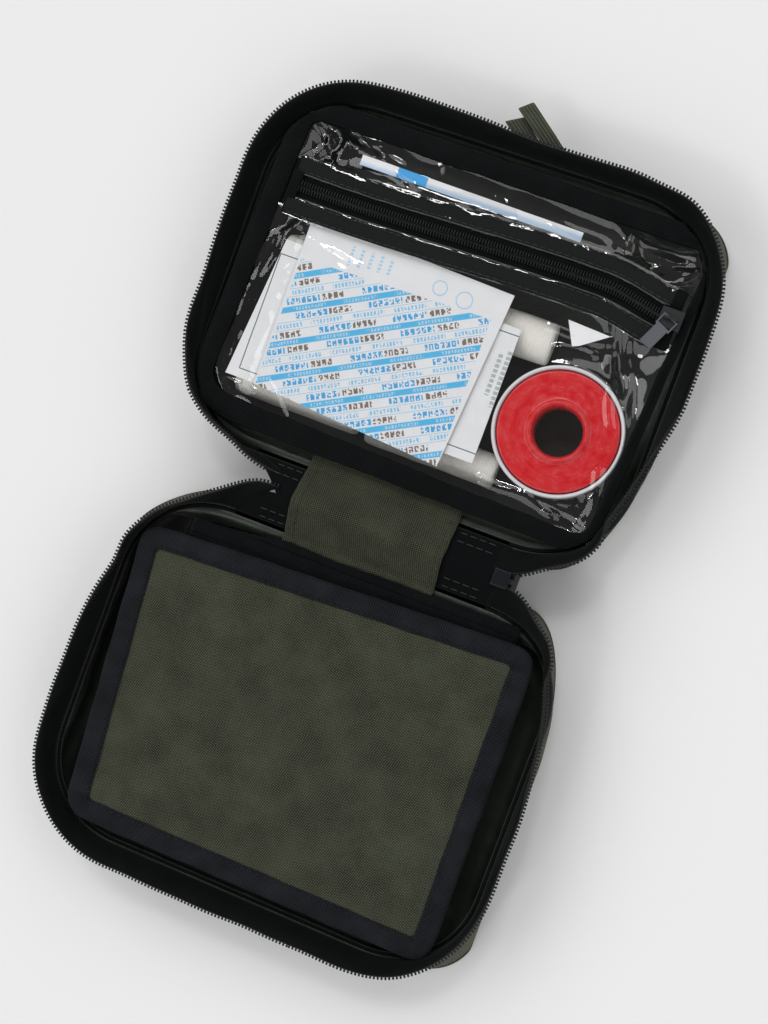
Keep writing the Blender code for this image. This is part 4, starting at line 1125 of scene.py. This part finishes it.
def film_pane(name, above, node):
    """Clear pane on one side of the zip, sagging under its weight until the goods hold it up."""
    across, down = 200, (60 if above else 130)
    grow = FILM_TUCK
    (ax, ay), (bx, by), (cx, cy), (dx, dy) = POCKET_IN
    low_left, low_right = np.array((ax - grow, ay - grow)), np.array((bx + grow, by - grow))
    high_right, high_left = np.array((cx + grow, cy + grow)), np.array((dx - grow, dy + grow))
    x = np.zeros((down, across))
    y = np.zeros((down, across))
    for i in range(across):
        s = i / (across - 1)
        low = low_left + (low_right - low_left) * s
        high = high_left + (high_right - high_left) * s
        seam_x = low[0] + (high[0] - low[0]) * 0.8
        seam = np.array((seam_x, zip_y(seam_x) + (FILM_TO_ZIP if above else -FILM_TO_ZIP)))
        start, stop = (seam, high) if above else (low, seam)
        for j in range(down):
            x[j, i], y[j, i] = start + (stop - start) * j / (down - 1)
    flat = kept_in(np.column_stack([x.ravel(), y.ravel()]), top_line(0.0016))
    x, y = flat[:, 0].reshape(x.shape), flat[:, 1].reshape(y.shape)
    stuff = goods_height(x, y) + 0.0003
    folds, small = film_wrinkle(x, y)
    z = np.full(x.shape, FILM_FLAT_Z)
    z[:, 0], z[:, -1] = FILM_EDGE_Z, FILM_EDGE_Z
    seam_row, rim_row = (0, -1) if above else (-1, 0)
    held = 0.0264 - 0.0009 * ease(np.abs(x[seam_row] + 0.001), 0.066, 0.08)
    pull = 0.0000045 if above else 0.000003
    sink = pull * (1 + 5.0 * ease(np.abs(x + 0.001), 0.064, 0.074))
    for _ in range(SAG_PASSES):
        mean = (z[:-2, 1:-1] + z[2:, 1:-1] + z[1:-1, :-2] + z[1:-1, 2:]) / 4 - sink[1:-1, 1:-1]
        z[1:-1, 1:-1] = np.maximum(mean, stuff[1:-1, 1:-1])
        z[rim_row], z[seam_row] = FILM_EDGE_Z, held
    j_edge = np.minimum(np.arange(down), np.arange(down)[::-1])[:, None]
    i_edge = np.minimum(np.arange(across), np.arange(across)[::-1])[None, :]
    fade = np.clip(np.minimum(j_edge, i_edge) / 5.0, 0.0, 1.0)
    z = np.maximum(z + fade * (folds + small), np.where(fade < 1, z, stuff))
    rows = [np.column_stack([x[j], y[j], z[j]]) for j in range(down)]
    pane = piece(name, surface(rows, plan=True), FILM, "lid", [node])
    flat, area = ((0.176, 0.03), 0.0043) if above else ((0.174, 0.087), 0.0149)


def pocket_cloth():
    """Binding, clear panes and clear side of the pocket."""
    profile = ((1.0, 0.0254), (0.95, 0.02575), (0.55, 0.026), (0.08, 0.0256), (0.0, 0.0247),
               (0.08, 0.0238), (1.0, 0.024))
    rows = []
    for share, z in profile:
        line = pocket_line(share)
        wave = 0.00045 * lumps(line, 0.015, 11.0)
        limit = top_line(0.001 + 0.0014 * (1 - share))
        rows.append(lifted(kept_in(strayed(line, 0.0006, 0.013, 13.0), limit), z + wave, 1))
    piece("pocket_binding_tape", surface(rows, closed=True), BLACK_BAND, "lid", ["pocket_frame"])
    film_pane("pocket_film_low", False, "pocket_film_lower")
    film_pane("pocket_film_high", True, "pocket_film_upper")
    rows = []
    for z in np.linspace(0.003, 0.0234, 8):
        line = pocket_line(0.35)
        wave = 0.0005 * lumps(line, 0.01, z * 300)
        limit = wall_line((z - FOOT_Z) / (TOP_Z - FOOT_Z), 0.0052, True, 1)
        rows.append(lifted(kept_in(line + outward(line, True) * wave[:, None], limit), z, 1))
    piece("pocket_side_pane", surface(rows, closed=True), FILM, "lid", ["pocket_side_film"])


def pocket_zip():
    """The pocket's zip: tapes, hems of the film with their stitches, coils, and the end cover."""
    xs = np.linspace(ZIP_LEFT[0], ZIP_RIGHT[0] + 0.001, 240)
    path = np.column_stack([xs, zip_y(xs)])
    run = distance_run(path)
    length = run[-1]

    def zip_point(at, off, z):
        spot, ahead, behind = (np.array([np.interp(at + step, run, path[:, k]) for k in (0, 1)])
                               for step in (0.0, 0.0006, -0.0006))
        along = (ahead - behind) / (np.linalg.norm(ahead - behind) + 1e-12)
        return (spot[0] - along[1] * off, spot[1] + along[0] * off, z)

    def strip(profile, stations, sign, off_wave, z_wave):
        """Long strip beside the zip; each wave is depth, size, seed and stretch."""
        rows = []
        for off, z in profile:
            rows.append([zip_point(at, sign * (off + off_wave[0] * lump(at, off, *off_wave[1:])),
                                   z + z_wave[0] * lump(at, off * z_wave[3], *z_wave[1:3]))
                         for at in stations])
        return surface(rows[::sign])

    for side, sign in (("upper", 1), ("lower", -1)):
        tape = strip(((0.0006, 0.027), (0.0028, 0.027), (0.0046, 0.0271), (0.0052, 0.0274),
                      (0.0082, 0.0273), (0.0114, 0.0272), (0.0122, 0.0269)),
                     np.linspace(0.0002, length - 0.0006, 110), sign, (0.00025, 0.012, sign),
                     (0.00025, 0.01, sign * 3.0, 2))
        piece(f"pocket_tape_{side}", tape, ZIP_TAPE, "lid", [f"pocket_zip_tape_{side}"], thick=0.0004)
        hem = strip(((0.0046, 0.0277), (0.0051, 0.0281), (0.0064, 0.0279), (0.009, 0.0278),
                     (0.0118, 0.0277), (0.0128, 0.0273)),
                    np.linspace(0.001, length - 0.006, 150), sign, (0.00035, 0.009, sign * 5),
                    (0.0004, 0.008, sign * 2.0, 3))
        piece(f"pocket_film_hem_{side}", hem, FILM, "lid")
        edge = [zip_point(at, sign * (0.0049 + 0.0002 * lump(at, 0.0, 0.009, sign * 5)), 0.028)
                for at in np.linspace(0.0012, length - 0.0062, 150)]
        piece(f"pocket_hem_edge_{side}", tube(edge, 0.00028, 6), VINYL_EDGE, "lid")
        parts = []
        for at in np.arange(0.003, length - 0.005, 0.0012):
            shift = 0.0006 if sign > 0 else 0.0
            turn = [zip_point(at + shift, sign * off, z) for off, z in
                    ((0.0026, 0.0276), (0.0021, 0.0281), (0.0008, 0.0283), (0.0001, 0.028))]
            parts.append(tube(turn, 0.0004, 6, (0.75, 0.8, 0.85, 0.95)))
        piece(f"pocket_coil_{side}", joined(parts), NYLON, "lid", [f"pocket_zip_coil_{side}"])
        lines = [[zip_point(at, sign * off, 0.0279) for at in np.linspace(0.002, length - 0.007, 60)]
                 for off in (0.006, 0.0114)]
        piece(f"pocket_hem_stitches_{side}", stitches(lines, 0.0024, 0.0009, 0.00016), THREAD, "lid")
    end = []
    for off in np.linspace(-0.006, 0.006, 11):
        dome = 0.0282 + 0.0007 * math.cos(off * 250)
        end.append([zip_point(at, off, dome + 0.0003 * lump(at, off, 0.003))
                    for at in np.linspace(0.0, 0.0042, 7)])
    piece("pocket_zip_end_cover", surface(end), BLACK_BAND, "lid", thick=0.0004)


def sliders():
    """Metal looks for the sliders and pullers, which keep their CAD shapes."""
    for node in ("pocket_slider", "pocket_puller", "main_slider", "main_puller"):
        obj = frame["nodes"][node]
        look = PULLER_GREY if "puller" in node else SLIDER_METAL
        for slot in obj.material_slots:
            slot.material = look


def hang_loop():
    """Webbing loop: the front run folds over at its end and returns a little to the left."""

    def layer(name, right_root, left_root, right_tip, left_tip, z, nodes):
        rows = []
        for t in np.linspace(0, 1, 16):
            line = []
            for u in np.linspace(0, 1, 12):
                root = np.array(left_root) * (1 - u) + np.array(right_root) * u
                tip = np.array(left_tip) * (1 - u) + np.array(right_tip) * u
                spot = root * (1 - t) + tip * t
                bow = 0.0008 * math.sin(math.pi * t) + 0.0003 * lump(spot[0], spot[1], 0.006, z * 100)
                line.append((spot[0], spot[1], z + bow))
            rows.append(line)
        piece(name, surface(rows), WEBBING, "hang_loop", nodes, thick=0.0011)

    layer("hang_loop_front", (0.0248, 0.1659), (0.0145, 0.1659), (0.0017, 0.1838), (-0.0034, 0.1796),
          0.0166, ["hang_loop"])
    layer("hang_loop_back", (0.0143, 0.1659), (0.0029, 0.1659), (-0.0003, 0.1774), (-0.007, 0.1736),
          0.0146, [])
    path = [(-0.003 + 0.0045 * u, 0.1793 + 0.0038 * u, 0.0158) for u in np.linspace(0, 1, 8)]
    piece("hang_loop_fold", tube(path, 0.0008), WEBBING, "hang_loop")
    arc = []
    for a in np.linspace(0.2, 2.9, 12):
        arc.append((0.0075 + 0.0022 * math.cos(a), 0.167 + 0.0012 * math.sin(a), 0.0178))
    piece("loose_thread", tube(arc, 0.00016, 5), PALE_THREAD, "hang_loop")


spine()
cover()
goods()
pocket_cloth()
pocket_zip()
sliders()
hang_loop()


# ---------------------------------------------------------------- stage

# Small lamps also have a slope.
SOFT_LIGHTS = ((20, 0.42), (80, 0.58), (140, 0.85), (200, 0.72), (260, 0.45), (320, 0.42))
SMALL_LIGHTS = ((110, 34.0, 0.34), (240, 42.0, 0.22))
SOFT_SLOPE, SOFT_WIDTH, SMALL_WIDTH = 50.0, 38.0, 9.0
WORLD_LIGHT = 0.16
FLOOR_REACH = 6.0

# Camera: lens in mm, place in the fold frame, tilt about x and y, and turn, in degrees
LENS = 49.2
CAMERA_PLACE = (0.0929, 0.0301, 0.5801)
CAMERA_TILT = (-1.08, -9.34)
CAMERA_TURN = -20.48


def stage():
    """Pale floor, even sky light and a ring of soft lamps."""
    floor_mesh = bpy.data.meshes.new("floor")
    reach = FLOOR_REACH
    floor_mesh.from_pydata([(-reach, -reach, 0), (reach, -reach, 0), (reach, reach, 0),
                            (-reach, reach, 0)], [], [(0, 1, 2, 3)])
    floor = bpy.data.objects.new("floor", floor_mesh)
    floor.location.z = -0.0002
    bpy.context.scene.collection.objects.link(floor)
    mat = bpy.data.materials.new("pale_floor")
    mat.use_nodes = True
    shader = mat.node_tree.nodes["Principled BSDF"]
    shader.inputs["Base Color"].default_value = (0.83, 0.83, 0.83, 1.0)
    shader.inputs["Roughness"].default_value = 0.9
    floor_mesh.materials.append(mat)

    world = bpy.data.worlds.new("studio")
    world.use_nodes = True
    back = world.node_tree.nodes["Background"]
    back.inputs["Color"].default_value = (1.0, 1.0, 1.0, 1.0)
    back.inputs["Strength"].default_value = WORLD_LIGHT
    bpy.context.scene.world = world

    def lamp(name, around, off_zenith, width, power):
        data = bpy.data.lights.new(name, "SUN")
        data.energy = power
        data.angle = math.radians(width)
        light = bpy.data.objects.new(name, data)
        turn, slope = math.radians(around), math.radians(off_zenith)
        spot = Vector((math.cos(turn) * math.sin(slope), math.sin(turn) * math.sin(slope),
                       math.cos(slope)))
        light.rotation_euler = (-spot).to_track_quat("-Z", "Y").to_euler()
        light.location = spot
        bpy.context.scene.collection.objects.link(light)

    for k, (around, power) in enumerate(SOFT_LIGHTS):
        lamp(f"softbox_{k + 1}", around, SOFT_SLOPE, SOFT_WIDTH, power)
    for k, (around, off_zenith, power) in enumerate(SMALL_LIGHTS):
        lamp(f"highlight_{k + 1}", around, off_zenith, SMALL_WIDTH, power)


def camera():
    data = bpy.data.cameras.new("camera")
    data.sensor_width = 36.0
    data.lens = LENS
    cam = bpy.data.objects.new("camera", data)
    tilt = Vector((math.radians(CAMERA_TILT[0]), math.radians(CAMERA_TILT[1]), 0.0))
    turned = Matrix.Rotation(math.radians(CAMERA_TURN), 3, "Z")
    seen = Matrix.Rotation(tilt.length, 3, tilt.normalized()) @ turned
    place = Matrix.Translation(CAMERA_PLACE) @ Matrix.Translation((0.0, FOLD_Y, 0.0))
    cam.matrix_world = place @ seen.transposed().to_4x4()
    bpy.context.scene.collection.objects.link(cam)
    bpy.context.scene.camera = cam


stage()
camera()
bpy.context.scene.view_settings.view_transform = "Standard"
